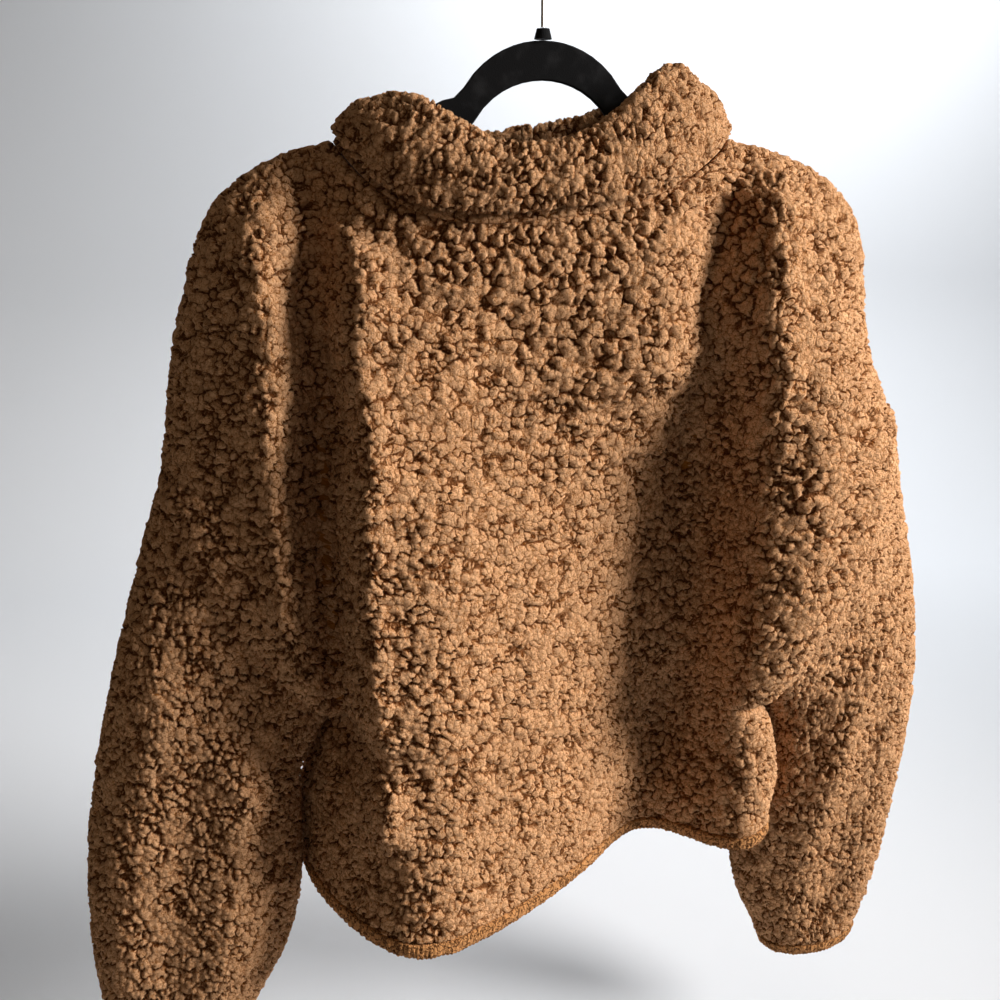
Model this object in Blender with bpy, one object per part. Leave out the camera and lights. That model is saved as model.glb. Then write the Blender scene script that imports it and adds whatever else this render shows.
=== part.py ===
"""Sherpa jacket hanging on a flocked hanger, as solids.

Frame: metres, +Z up.  The jacket's back faces +Y, its left sleeve is at +X and the origin is
the inner top of the hanger's hook.  The body is worked out as one surface: v runs down from the
neck to the hem, and t runs across from the right side seam (-1) to the left one (+1), once for
the back and once for the front.  The panels are cut out of it at the seams.
"""
import math
from typing import NamedTuple

import bmesh
import bpy
import numpy as np

# ---------------------------------------------------------------- driving dimensions
WALL = 0.006            # sherpa, knit ground and pressed pile together
SEAM_GAP = 0.0009       # between the faces that meet at a seam
FRONT_GAP = 0.0030      # between the two front edges, which hang unfastened
HEM_WIDTH = 0.013
HEM_SWELL = 0.0012      # how far the bound edges stand out from the panels
BAND_HEIGHT = 0.0075
COLLAR_CORE = 0.0030    # air between the collar's two layers
COLLAR_LOOSE = 0.0014    # between the fall's edge and the neck band

HANGER_THICKNESS = 0.0052
HANGER_HALF_WIDTH = 0.214
HANGER_CLEARANCE = 0.0013
ARCH_TOP = -0.102
ARCH_RADIUS = 0.0652
ARCH_THROAT_TOP = -0.1275
ARCH_THROAT_RADIUS = 0.0560
ARM_DEPTH = 0.019
ARM_START = 0.152       # where the arm is straight under the shoulder
BOSS_RADIUS = 0.0062
BOSS_HEIGHT = 0.0075
HOOK_WIRE = 0.0016      # radius
HOOK_RADIUS = 0.0200    # inside the bend

# Cells of the grids.
SHOULDER_CELLS = 10
ARMHOLE_CELLS = 10
SIDE_CELLS = 6
BACK_CELLS = 32
FRONT_CELLS = 14
SLEEVE_CELLS = 19

NECK, ARMHOLE_TOP, UNDERARM, HEM = 0.0, 7.0, 8.0, 10.0
LEFT, RIGHT = 1, -1
BACK, FRONT = 1, -1


class BodyRow(NamedTuple):
    """One level of the body: where it ends at each side and how far it stands out."""

    v: float
    left_x: float
    left_z: float
    right_x: float
    right_z: float
    side_y: float
    back_z: float
    front_z: float
    back_y: float
    front_y: float
    roundness: float
    rise: float


BODY = [
    BodyRow(0.0, .147, -.1665, -.132, -.1650, 0, -.217, -.225, .067, -.056, 2.8, 3.0),
    BodyRow(1.0, .172, -.1730, -.166, -.1725, 0, -.240, -.249, .067, -.056, 3.2, 2.8),
    BodyRow(2.0, .201, -.1850, -.199, -.1855, 0, -.264, -.275, .067, -.056, 3.8, 2.4),
    BodyRow(3.0, .229, -.2060, -.224, -.2050, 0, -.292, -.310, .067, -.056, 4.5, 2.2),
    BodyRow(4.0, .245, -.2340, -.238, -.2310, 0, -.322, -.338, .067, -.056, 5.5, 2.0),
    BodyRow(5.0, .256, -.2680, -.244, -.2680, 0, -.354, -.368, .067, -.057, 6.5, 2.0),
    BodyRow(6.0, .269, -.3130, -.253, -.3120, 0, -.390, -.402, .067, -.058, 7.5, 2.0),
    BodyRow(7.0, .283, -.3950, -.273, -.3580, 0, -.430, -.440, .067, -.059, 8.0, 2.0),
    BodyRow(8.0, .168, -.6050, -.190, -.6100, 0, -.602, -.598, .070, -.072, 3.2, 2.0),
    BodyRow(8.5, .182, -.6420, -.2025, -.6420, -.008, -.643, -.637, .071, -.079, 3.0, 2.0),
    BodyRow(9.0, .192, -.6800, -.209, -.6750, -.016, -.684, -.676, .072, -.086, 3.0, 2.0),
    BodyRow(10.0, .202, -.7660, -.212, -.7480, -.024, -.770, -.752, .070, -.100, 4.4, 2.0),
]


class Armhole(NamedTuple):
    """The loop where a sleeve is sewn on, from its top to the underarm."""

    top_x: float
    top_z: float
    under_x: float
    under_z: float
    bow: float
    depth: float


ARMHOLES = {
    LEFT: Armhole(.283, -.395, .168, -.605, .009, .056),
    RIGHT: Armhole(-.273, -.358, -.190, -.610, .011, .062),
}


class Fold(NamedTuple):
    """A soft ridge (positive) or trough (negative) that runs down a face of the body."""

    face: int
    top_v: float
    end_v: float
    top_x: float
    end_x: float
    top_rise: float
    end_rise: float
    half_width: float


FOLDS = [
    Fold(BACK, 0.0, 8.8, .160, .153, -.018, -.036, .028),
    Fold(BACK, 0.0, 9.6, -.124, -.126, -.016, -.026, .028),
    Fold(BACK, 2.0, 11.0, .110, .104, .003, .054, .074),
    Fold(BACK, 2.0, 11.0, .020, -.030, -.002, -.012, .045),
    Fold(BACK, 4.0, 11.0, -.085, -.106, -.002, -.104, .064),
    Fold(BACK, 4.0, 8.6, -.205, -.190, .006, .018, .040),
    Fold(FRONT, 0.0, 8.8, .150, .146, -.014, -.026, .032),
    Fold(FRONT, 0.0, 8.8, -.146, -.140, -.014, -.024, .034),
    Fold(FRONT, 3.0, 11.0, .100, .095, .004, .026, .050),
    Fold(FRONT, 3.0, 11.0, -.092, -.100, .004, .024, .046),
    Fold(FRONT, 5.0, 11.0, .040, .044, -.002, -.016, .034),
]


class SleeveRow(NamedTuple):
    """One ring of a sleeve: its outer and inner edge and its depth, front to back."""

    w: float
    outer_x: float
    outer_z: float
    inner_x: float
    inner_z: float
    middle_y: float
    depth: float
    bow: float


SLEEVES = {
    LEFT: [
        SleeveRow(0, .283, -.395, .168, -.605, .000, .056, .009),
        SleeveRow(1, .295, -.430, .180, -.628, .000, .057, .007),
        SleeveRow(2, .310, -.478, .191, -.645, .002, .058, .005),
        SleeveRow(3, .327, -.532, .197, -.665, .005, .058, .003),
        SleeveRow(4, .344, -.587, .199, -.692, .008, .057, .001),
        SleeveRow(5, .358, -.641, .200, -.724, .012, .056, 0),
        SleeveRow(6, .369, -.696, .202, -.758, .016, .055, 0),
        SleeveRow(7, .375, -.752, .208, -.791, .020, .053, 0),
        SleeveRow(8, .377, -.806, .221, -.825, .024, .049, 0),
        SleeveRow(9, .373, -.856, .241, -.862, .027, .043, 0),
        SleeveRow(10, .360, -.900, .261, -.900, .029, .034, 0),
    ],
    RIGHT: [
        SleeveRow(0, -.273, -.358, -.190, -.610, .000, .062, .011),
        SleeveRow(1, -.290, -.398, -.203, -.630, -.006, .056, .009),
        SleeveRow(2, -.308, -.446, -.214, -.656, -.012, .053, .007),
        SleeveRow(3, -.326, -.496, -.221, -.690, -.020, .052, .004),
        SleeveRow(4, -.342, -.550, -.222, -.724, -.032, .052, .002),
        SleeveRow(5, -.354, -.611, -.220, -.760, -.044, .053, 0),
        SleeveRow(6, -.360, -.674, -.212, -.796, -.052, .053, 0),
        SleeveRow(7, -.361, -.736, -.206, -.830, -.057, .050, 0),
        SleeveRow(8, -.358, -.797, -.214, -.865, -.059, .045, 0),
        SleeveRow(9, -.350, -.860, -.230, -.902, -.059, .038, 0),
        SleeveRow(10, -.335, -.922, -.246, -.938, -.058, .030, 0),
    ],
}
SLEEVE_END = 10.0


class SleeveFold(NamedTuple):
    """A soft ridge or trough along a sleeve; turn is where it lies round the ring."""

    side: int
    top_w: float
    end_w: float
    top_turn: float
    end_turn: float
    rise: float
    half_width: float


SLEEVE_FOLDS = [
    SleeveFold(LEFT, 1.0, 9.6, 95, 80, -.010, 20),
    SleeveFold(LEFT, 1.5, 9.8, 130, 118, .007, 18),
    SleeveFold(RIGHT, 3.5, 9.8, 70, 88, -.008, 22),
    SleeveFold(RIGHT, 2.0, 9.0, 120, 130, -.006, 18),
    SleeveFold(LEFT, 1.0, 9.4, 262, 272, -.008, 20),
    SleeveFold(RIGHT, 1.0, 9.4, 275, 262, -.008, 20),
]


class CollarStation(NamedTuple):
    """How the collar leans at one place round the neck."""

    height: float
    lean: float


COLLAR_BACK = CollarStation(.0460, .0090)
COLLAR_LEFT = CollarStation(.0230, .0430)
COLLAR_RIGHT = CollarStation(.0350, .0390)
COLLAR_FRONT = CollarStation(.0680, .0120)
COLLAR_PUFF = 0.0045
COLLAR_DIAGONAL = 0.0230   # how much taller it stands between the back and the sides
COLLAR_DIAGONAL_FRONT = 0.0080
DIAGONAL_SCALE = 256.0 / 27.0   # brings the peak of s**3 * (1 - s) to 1
NECK_TILT = 0.10           # the neck seam sags towards the left

COLOURS = {
    "sherpa": ((.42, .20, .075), .95, 0.0),
    "binding": ((.36, .165, .060), .95, 0.0),
    "flock": ((.010, .010, .011), .90, 0.0),
    "wire": ((.45, .45, .46), .30, 1.0),
}


# ---------------------------------------------------------------- small helpers
def smoothstep(x):
    """0 below 0, 1 above 1 and an even ease between."""
    x = np.clip(x, 0.0, 1.0)
    return x * x * (3.0 - 2.0 * x)


def table_value(rows, key, column, at):
    """Read a table's column at any value of its key, on a smooth curve through its rows."""
    keys = np.array([getattr(row, key) for row in rows], float)
    values = np.array([getattr(row, column) for row in rows], float)
    slopes = np.gradient(values, keys)
    at = np.clip(np.asarray(at, float), keys[0], keys[-1])
    cell = np.clip(np.searchsorted(keys, at, side="right") - 1, 0, len(keys) - 2)
    width = keys[cell + 1] - keys[cell]
    p = (at - keys[cell]) / width
    rise_start = values[cell] * (2 * p**3 - 3 * p**2 + 1) + slopes[cell] * width * (p**3 - 2 * p**2 + p)
    rise_end = values[cell + 1] * (3 * p**2 - 2 * p**3) + slopes[cell + 1] * width * (p**3 - p**2)
    return rise_start + rise_end


def unit(vectors):
    """Vectors scaled to length 1."""
    return vectors / np.maximum(np.linalg.norm(vectors, axis=-1, keepdims=True), 1e-12)


def toward(points, targets, distance):
    """Points moved a distance towards their targets."""
    return points + unit(targets - points) * distance


def ring_loop(outer, inner, bow, turn):
    """Points of a ring in the XZ plane; turn 0 is the outer edge and pi the inner one."""
    along = inner - outer
    normal = unit(np.stack([-along[..., 1], along[..., 0]], -1))
    normal = normal * np.sign(outer[..., :1] * normal[..., :1])
    part = (1.0 - np.cos(turn))[..., None] / 2.0
    return outer + along * part + normal * (bow * np.abs(np.sin(turn)))[..., None]


# ---------------------------------------------------------------- the body's surface
def body_edge(v, side):
    """The X, Z and half depth of the body's edge at a side, for levels v."""
    name = "left" if side == LEFT else "right"
    upper = [row for row in BODY if row.v <= ARMHOLE_TOP]
    lower = [row for row in BODY if row.v >= UNDERARM]
    hole = ARMHOLES[side]
    turn = np.clip(v - ARMHOLE_TOP, 0.0, 1.0) * math.pi
    top = np.broadcast_to(np.array([hole.top_x, hole.top_z]), v.shape + (2,))
    under = np.broadcast_to(np.array([hole.under_x, hole.under_z]), v.shape + (2,))
    loop = ring_loop(top, under, hole.bow, turn)
    above = v < ARMHOLE_TOP
    below = v > UNDERARM
    x = np.where(above, table_value(upper, "v", name + "_x", v), loop[..., 0])
    z = np.where(above, table_value(upper, "v", name + "_z", v), loop[..., 1])
    x = np.where(below, table_value(lower, "v", name + "_x", v), x)
    z = np.where(below, table_value(lower, "v", name + "_z", v), z)
    return x, z, hole.depth * np.sin(turn)


def body_surface(v, t, face):
    """The outer surface of the body at levels v and places t, on the back or front."""
    v, t = np.broadcast_arrays(np.asarray(v, float), np.asarray(t, float))
    across = np.abs(np.sin(t * math.pi / 2.0))
    left_x, left_z, left_depth = body_edge(v, LEFT)
    right_x, right_z, right_depth = body_edge(v, RIGHT)
    is_left = t >= 0.0
    edge_x = np.where(is_left, left_x, right_x)
    edge_z = np.where(is_left, left_z, right_z)
    edge_depth = np.where(is_left, left_depth, right_depth)
    name = "back" if face == BACK else "front"
    middle_z = table_value(BODY, "v", name + "_z", v)
    depth = np.abs(table_value(BODY, "v", name + "_y", v))
    roundness = table_value(BODY, "v", "roundness", v)
    rise = table_value(BODY, "v", "rise", v)
    below = [row for row in BODY if row.v >= UNDERARM]
    side_y = np.where(v > UNDERARM, table_value(below, "v", "side_y", v), 0.0)
    x = edge_x * across
    z = middle_z + (edge_z - middle_z) * across**rise
    z = z - NECK_TILT * x * (1.0 - across**4) * smoothstep(1.0 - v / 4.0)
    crown = np.sqrt(np.maximum(1.0 - across**roundness, 0.0))
    out = edge_depth + (depth - side_y * face - edge_depth) * crown
    fade = 1.0 - across**8
    for fold in FOLDS:
        if fold.face != face:
            continue
        part = (v - fold.top_v) / (fold.end_v - fold.top_v)
        middle = fold.top_x + (fold.end_x - fold.top_x) * part
        height = fold.top_rise + (fold.end_rise - fold.top_rise) * part
        ends = smoothstep((v - fold.top_v) / 1.2) * smoothstep((fold.end_v - v) / 0.9)
        out = out + height * ends * fade * np.exp(-((x - middle) / fold.half_width) ** 2)
    return np.stack([x, side_y + face * out, z], -1)


def sleeve_surface(side, w, turn):
    """The outer surface of a sleeve; turn 0 is its outer edge, 90 its back, 180 its inner edge."""
    rows = SLEEVES[side]
    w, turn = np.broadcast_arrays(np.asarray(w, float), np.asarray(turn, float))
    angle = np.radians(turn)
    outer = np.stack([table_value(rows, "w", "outer_x", w), table_value(rows, "w", "outer_z", w)], -1)
    inner = np.stack([table_value(rows, "w", "inner_x", w), table_value(rows, "w", "inner_z", w)], -1)
    flat = ring_loop(outer, inner, table_value(rows, "w", "bow", w), angle)
    depth = table_value(rows, "w", "depth", w)
    for fold in SLEEVE_FOLDS:
        if fold.side != side:
            continue
        part = (w - fold.top_w) / (fold.end_w - fold.top_w)
        middle = fold.top_turn + (fold.end_turn - fold.top_turn) * part
        ends = smoothstep(part * 4.0) * smoothstep((1.0 - part) * 4.0)
        depth = depth + fold.rise * ends * np.exp(-((turn - middle) / fold.half_width) ** 2)
    y = table_value(rows, "w", "middle_y", w) + depth * np.sin(angle)
    return np.stack([flat[..., 0], y, flat[..., 1]], -1)


def grid_normals(grid, closed=False):
    """Normals of a grid of points from its neighbours along both directions."""
    if closed:
        along = np.roll(grid, -1, axis=1) - np.roll(grid, 1, axis=1)
    else:
        along = np.gradient(grid, axis=1)
    down = np.gradient(grid, axis=0)
    return unit(np.cross(down, along))


# ---------------------------------------------------------------- meshes
def make_material(name):
    """A Principled material from the colour table."""
    colour, roughness, metallic = COLOURS[name]
    material = bpy.data.materials.new(name)
    material.use_nodes = True
    shader = material.node_tree.nodes["Principled BSDF"]
    shader.inputs["Base Color"].default_value = (*colour, 1.0)
    shader.inputs["Roughness"].default_value = roughness
    shader.inputs["Metallic"].default_value = metallic
    material.diffuse_color = (*colour, 1.0)
    return material


def add_object(name, mesh, material, collection):
    """Put a mesh into the scene as a named object with its own material."""
    for polygon in mesh.polygons:
        polygon.use_smooth = True
    mesh.set_sharp_from_angle(angle=math.radians(50))
    mesh.materials.append(material)
    item = bpy.data.objects.new(name, mesh)
    collection.objects.link(item)
    return item


def mesh_from_loft(name, loft, ring_closed, path_closed):
    """A closed body from sections: loft has one row a station and one point a corner.

    ring_closed sections are tubes whose first and last station are capped by their own corner
    points; path_closed lofts join the last station to the first.
    """
    stations, corners = loft.shape[:2]
    mesh = bpy.data.meshes.new(name)
    body = bmesh.new()
    points = [[body.verts.new(point) for point in station] for station in loft.tolist()]
    last = stations if path_closed else stations - 1
    for i in range(last):
        here = points[i]
        there = points[(i + 1) % stations]
        for j in range(corners if ring_closed else corners - 1):
            k = (j + 1) % corners
            body.faces.new((here[j], here[k], there[k], there[j]))
    if not path_closed:
        half = corners // 2
        for end in (points[0], points[-1]):
            for j in range(half - 1):
                body.faces.new((end[j], end[j + 1], end[corners - 2 - j], end[corners - 1 - j]))
    bmesh.ops.recalc_face_normals(body, faces=body.faces)
    body.to_mesh(mesh)
    body.free()
    return mesh


def wall_between(name, outer, inner):
    """A closed wall from an outer and an inner grid of points; each station is one column."""
    sections = np.concatenate([outer, inner[::-1]], axis=0).transpose(1, 0, 2)
    return mesh_from_loft(name, sections, ring_closed=True, path_closed=False)


def tube_between(name, outer, inner):
    """A closed tube wall from an outer and an inner grid whose columns go all round."""
    sections = np.concatenate([outer, inner[::-1]], axis=0).transpose(1, 0, 2)
    return mesh_from_loft(name, sections, ring_closed=True, path_closed=True)


# ---------------------------------------------------------------- panels
def levels():
    """The levels v of the body's rows, with the armhole's corners among them."""
    shoulder = np.linspace(NECK, ARMHOLE_TOP, SHOULDER_CELLS + 1)
    armhole = np.linspace(ARMHOLE_TOP, UNDERARM, ARMHOLE_CELLS + 1)
    side = np.linspace(UNDERARM, HEM, SIDE_CELLS + 1)
    return np.concatenate([shoulder, armhole[1:], side[1:]])


def front_edge_place(side, v):
    """The place t of a front's free edge, so that half the front gap is left beside it."""
    edge_x = np.abs(body_edge(v, side)[0])
    return np.arcsin(FRONT_GAP / 2.0 / edge_x) * 2.0 / math.pi * side


def body_grids():
    """The outer grids of the back and the fronts, columns from left to right."""
    v = levels()[:, None]
    back = body_surface(v, np.linspace(1.0, -1.0, BACK_CELLS + 1)[None, :], BACK)
    step = np.linspace(0.0, 1.0, FRONT_CELLS + 1)[None, :]
    left_edge = front_edge_place(LEFT, v)
    right_edge = front_edge_place(RIGHT, v)
    front_left = body_surface(v, 1.0 + (left_edge - 1.0) * step, FRONT)
    front_right = body_surface(v, -1.0 + (right_edge + 1.0) * step, FRONT)
    return back, front_left, front_right


def sleeve_grid(side):
    """The outer grid of a sleeve: ring 0 lies on the armhole, columns go round from the top."""
    w = np.linspace(0.0, SLEEVE_END, SLEEVE_CELLS + 1)[:, None]
    turn = np.arange(2 * ARMHOLE_CELLS)[None, :] * 180.0 / ARMHOLE_CELLS
    return sleeve_surface(side, w, turn)


def outward(normals, grid, centre):
    """Normals turned so that they point away from a centre line."""
    sign = np.sign(np.sum(normals * (grid - centre), axis=(-1)).mean())
    return normals * sign


class Shell(NamedTuple):
    """A panel's outer and inner grid."""

    outer: np.ndarray
    inner: np.ndarray


def jacket_shells():
    """Outer and inner grids of the body and sleeves, with matching faces at every seam."""
    back, front_left, front_right = body_grids()
    sleeves = {side: sleeve_grid(side) for side in (LEFT, RIGHT)}
    upright = np.array([0.0, 0.0, 1.0])
    back_n = outward(grid_normals(back), back, back * upright)
    left_n = outward(grid_normals(front_left), front_left, front_left * upright)
    right_n = outward(grid_normals(front_right), front_right, front_right * upright)
    sleeve_n = {}
    for side, grid in sleeves.items():
        centre = grid.mean(axis=1, keepdims=True)
        sleeve_n[side] = outward(grid_normals(grid, closed=True), grid, centre)
    first = SHOULDER_CELLS
    last = SHOULDER_CELLS + ARMHOLE_CELLS
    for side, back_column, front_n in ((LEFT, 0, left_n), (RIGHT, -1, right_n)):
        shared = unit(back_n[:, back_column] + front_n[:, 0])
        open_rows = slice(first + 1, last)
        round_back = sleeve_n[side][0, :ARMHOLE_CELLS + 1]
        round_front = sleeve_n[side][0, (-np.arange(ARMHOLE_CELLS + 1)) % (2 * ARMHOLE_CELLS)]
        shared_back = shared.copy()
        shared_front = shared.copy()
        inside = slice(1, ARMHOLE_CELLS)
        shared_back[open_rows] = unit(back_n[open_rows, back_column] + round_back[inside])
        shared_front[open_rows] = unit(front_n[open_rows, 0] + round_front[inside])
        for row, place in ((first, 0), (last, ARMHOLE_CELLS)):
            corner = unit(shared[row] + sleeve_n[side][0, place])
            shared_back[row] = corner
            shared_front[row] = corner
        back_n[:, back_column] = shared_back
        front_n[:, 0] = shared_front
        for place in range(ARMHOLE_CELLS + 1):
            sleeve_n[side][0, place] = shared_back[first + place]
            sleeve_n[side][0, -place] = shared_front[first + place]
        sleeve_n[side][0, 0] = shared_back[first]
    shells = {
        "back": Shell(back, back - back_n * WALL),
        "front_left": Shell(front_left, front_left - left_n * WALL),
        "front_right": Shell(front_right, front_right - right_n * WALL),
    }
    for side, name in ((LEFT, "sleeve_left"), (RIGHT, "sleeve_right")):
        shells[name] = Shell(sleeves[side], sleeves[side] - sleeve_n[side] * WALL)
    return shells


def pulled(edge, beside):
    """A seam's row moved in by half the seam gap, square to the seam."""
    seam = unit(np.gradient(edge, axis=0))
    inward = beside - edge
    inward = inward - seam * np.sum(inward * seam, axis=-1, keepdims=True)
    return edge + unit(inward) * SEAM_GAP / 2.0


def pull_rows(grid, first=True, last=True):
    """A grid with its first or last row moved in by half the seam gap."""
    grid = grid.copy()
    if first:
        grid[0] = pulled(grid[0], grid[1])
    if last:
        grid[-1] = pulled(grid[-1], grid[-2])
    return grid


def pull_columns(grid, first=True, last=True):
    """A grid with its first or last column moved in by half the seam gap."""
    return pull_rows(grid.transpose(1, 0, 2), first, last).transpose(1, 0, 2)


def hem_cut(shell):
    """A panel's grids ended where the bound hem starts, and the hem's own four corner lines."""
    cut = {}
    for name, grid in (("outer", shell.outer), ("inner", shell.inner)):
        cut[name] = toward(grid[-1], grid[-2], HEM_WIDTH)
    outer = np.concatenate([shell.outer[:-1], cut["outer"][None]])
    inner = np.concatenate([shell.inner[:-1], cut["inner"][None]])
    return Shell(outer, inner), Shell(np.stack([cut["outer"], shell.outer[-1]]),
                                      np.stack([cut["inner"], shell.inner[-1]]))


def bound_edge(shell):
    """A bound edge: the strip between two rows, swelled into a soft roll."""
    out = unit(shell.outer - shell.inner)
    top_outer, low_outer = shell.outer
    top_inner, low_inner = shell.inner
    top_outer = toward(top_outer, low_outer, SEAM_GAP / 2.0)
    top_inner = toward(top_inner, low_inner, SEAM_GAP / 2.0)
    swell = out * HEM_SWELL
    middle_outer = (top_outer + low_outer) / 2.0 + (swell[0] + swell[1]) / 2.0
    middle_inner = (top_inner + low_inner) / 2.0
    upper_outer = top_outer * 0.8 + low_outer * 0.2 + swell[0] * 0.8
    round_outer = low_outer * 0.85 + top_outer * 0.15 + swell[1] * 0.7
    end_outer = low_outer * 0.75 + low_inner * 0.25
    end_inner = low_inner * 0.75 + low_outer * 0.25
    outer = np.stack([top_outer, upper_outer, middle_outer, round_outer, end_outer])
    inner = np.stack([top_inner, top_inner * 0.8 + low_inner * 0.2, middle_inner,
                      low_inner * 0.85 + top_inner * 0.15, end_inner])
    return Shell(outer, inner)


def neck_line(shells):
    """The neck seam from the left front's edge round the back to the right front's edge."""
    parts = []
    for name, order in (("front_left", -1), ("back", 1), ("front_right", 1)):
        shell = shells[name]
        row = np.stack([shell.outer[0], shell.inner[0], shell.outer[1]])
        if order < 0:
            row = row[:, ::-1]
        if name != "front_left":
            row = row[:, 1:]
        parts.append(row)
    return np.concatenate(parts, axis=1)


def neck_frames(shells):
    """At each station round the neck: outer and inner seam points, up and outward directions."""
    outer, inner, below = neck_line(shells)
    base = (outer + inner) / 2.0
    x, y = base[:, 0], base[:, 1]
    reach_x = np.where(x > 0, x.max(), -x.min())
    reach_y = np.where(y > 0, y.max(), -y.min())
    side_part = np.abs(x) / reach_x
    side_height = np.where(x > 0, COLLAR_LEFT.height, COLLAR_RIGHT.height)
    side_lean = np.where(x > 0, COLLAR_LEFT.lean, COLLAR_RIGHT.lean)
    middle_height = np.where(y > 0, COLLAR_BACK.height, COLLAR_FRONT.height)
    middle_lean = np.where(y > 0, COLLAR_BACK.lean, COLLAR_FRONT.lean)
    height = middle_height + (side_height - middle_height) * side_part**2
    diagonal = np.where(y > 0, COLLAR_DIAGONAL, COLLAR_DIAGONAL_FRONT)
    height = height + diagonal * DIAGONAL_SCALE * side_part**3 * (1.0 - side_part)
    climb = np.stack([-x / reach_x * side_lean, -y / reach_y * middle_lean, height], -1)
    up = unit(climb)
    along = np.gradient(base, axis=0)
    out = unit(np.cross(along, up))
    out = out * np.sign(np.sum(out * base * np.array([1.0, 1.0, 0.0]), axis=-1).mean())
    return outer, inner, below, up, out, np.linalg.norm(climb, axis=-1)


def make_neck_band(shells):
    """The narrow strip between the neck seam and the collar."""
    outer, inner, below, up, out, _ = neck_frames(shells)
    start = unit(outer - below)
    low_outer = outer + start * SEAM_GAP / 2.0
    low_inner = inner + start * SEAM_GAP / 2.0
    centre = (outer + inner) / 2.0 + up * BAND_HEIGHT
    high_outer = centre + out * WALL / 2.0
    high_inner = centre - out * WALL / 2.0
    return Shell(np.stack([low_outer, high_outer]), np.stack([low_inner, high_inner]))


def make_collar(shells, band):
    """The collar's section swept round the neck: stand, fold and fall as one bent wall."""
    _, _, _, up, out, height = neck_frames(shells)
    foot = (band.outer[1] + band.inner[1]) / 2.0 + up * SEAM_GAP
    bend = (WALL + COLLAR_CORE) / 2.0
    straight = (height - BAND_HEIGHT - bend)[:, None]
    line = [foot, foot + up * straight]
    top = foot + up * straight + out * bend
    for angle in (120.0, 60.0):
        turn = math.radians(angle)
        line.append(top + out * bend * math.cos(turn) + up * bend * math.sin(turn))
    touch = WALL + COLLAR_LOOSE
    for part in (0.0, 0.3, 0.6, 0.85, 1.0):
        puff = COLLAR_PUFF * math.sin(math.pi * part)
        away = 2.0 * bend + (touch - 2.0 * bend) * part**2 + puff
        line.append(foot + up * straight * (1.0 - part) + out * away)
    line = np.stack(line)
    across = unit(np.cross(np.gradient(line, axis=0), np.gradient(line, axis=1)))
    across = across * np.sign(np.sum(across[-1] * out, axis=-1).mean())
    return Shell(line + across * WALL / 2.0, line - across * WALL / 2.0)


# ---------------------------------------------------------------- hanger
def shoulder_line(x):
    """The lower of the two shoulders' outer ridges at a distance x from the middle."""
    rows = [row for row in BODY if row.v <= 4.0]
    left = np.interp(x, [row.left_x for row in rows], [row.left_z for row in rows])
    right = np.interp(x, [-row.right_x for row in rows], [row.right_z for row in rows])
    return min(left, right)


def arm_top(x):
    """The arm's upper edge, just under the cloth that it carries."""
    step = 0.004
    slope = (shoulder_line(x + step) - shoulder_line(x - step)) / (2.0 * step)
    return shoulder_line(x) - (WALL + HANGER_CLEARANCE) * math.hypot(1.0, slope)


def hanger_top(x):
    """The hanger's upper edge: the arch, a flare and the arm that carries the shoulder."""
    flare_start = ARCH_RADIUS * 0.90
    arch = ARCH_TOP - ARCH_RADIUS + math.sqrt(max(ARCH_RADIUS**2 - min(x, flare_start) ** 2, 0.0))
    if x <= flare_start:
        return arch
    blend = float(smoothstep((x - flare_start) / (ARM_START - flare_start)))
    lead = 1.0 - (1.0 - blend) ** 1.3
    return arch * (1.0 - lead) + arm_top(max(x, ARM_START)) * lead


def hanger_throat(x):
    """The hanger's lower edge: the throat of the arch and the underside of the arm."""
    centre = ARCH_THROAT_TOP - ARCH_THROAT_RADIUS
    if x < ARCH_THROAT_RADIUS * 0.93:
        return centre + math.sqrt(ARCH_THROAT_RADIUS**2 - x**2)
    edge = ARCH_THROAT_RADIUS * 0.93
    start = centre + math.sqrt(ARCH_THROAT_RADIUS**2 - edge**2)
    under = hanger_top(x) - ARM_DEPTH
    part = float(smoothstep((x - edge) / 0.020))
    return start * (1.0 - part) + under * part


def make_hanger(collection, material):
    """The flat flocked plate, cut from one outline and eased at its edges."""
    xs = np.concatenate([np.linspace(0.0, 0.062, 10), np.linspace(0.070, HANGER_HALF_WIDTH, 12)])
    top = [(x, hanger_top(x)) for x in xs]
    low = [(x, hanger_throat(x)) for x in xs]
    tip_top = top[-1]
    tip_low = low[-1]
    radius = (tip_top[1] - tip_low[1]) / 2.0
    middle = (tip_top[1] + tip_low[1]) / 2.0
    tip = []
    for angle in (60, 30, 0, -30, -60):
        turn = math.radians(angle)
        tip.append((HANGER_HALF_WIDTH + radius * 0.35 * math.cos(turn), middle + radius * math.sin(turn)))
    right_half = top + tip + low[::-1]
    left_half = [(-x, z) for x, z in reversed(right_half)]
    outline = right_half[1:-1] + [low[0]] + left_half[1:-1] + [top[0]]
    curve = bpy.data.curves.new("hanger_outline", "CURVE")
    curve.dimensions = "2D"
    curve.fill_mode = "BOTH"
    ease = 0.0009
    curve.extrude = HANGER_THICKNESS / 2.0 - ease
    curve.bevel_depth = ease
    curve.bevel_resolution = 0
    curve.offset = -ease
    spline = curve.splines.new("POLY")
    spline.points.add(len(outline) - 1)
    for point, (x, z) in zip(spline.points, outline):
        point.co = (x, z, 0.0, 1.0)
    spline.use_cyclic_u = True
    shape = bpy.data.objects.new("hanger_outline", curve)
    shape.rotation_euler = (math.radians(90.0), 0.0, 0.0)
    collection.objects.link(shape)
    bpy.context.view_layer.update()
    plate = mesh_from_curve(shape, "hanger")
    return add_object("hanger", plate, material, collection)


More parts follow.
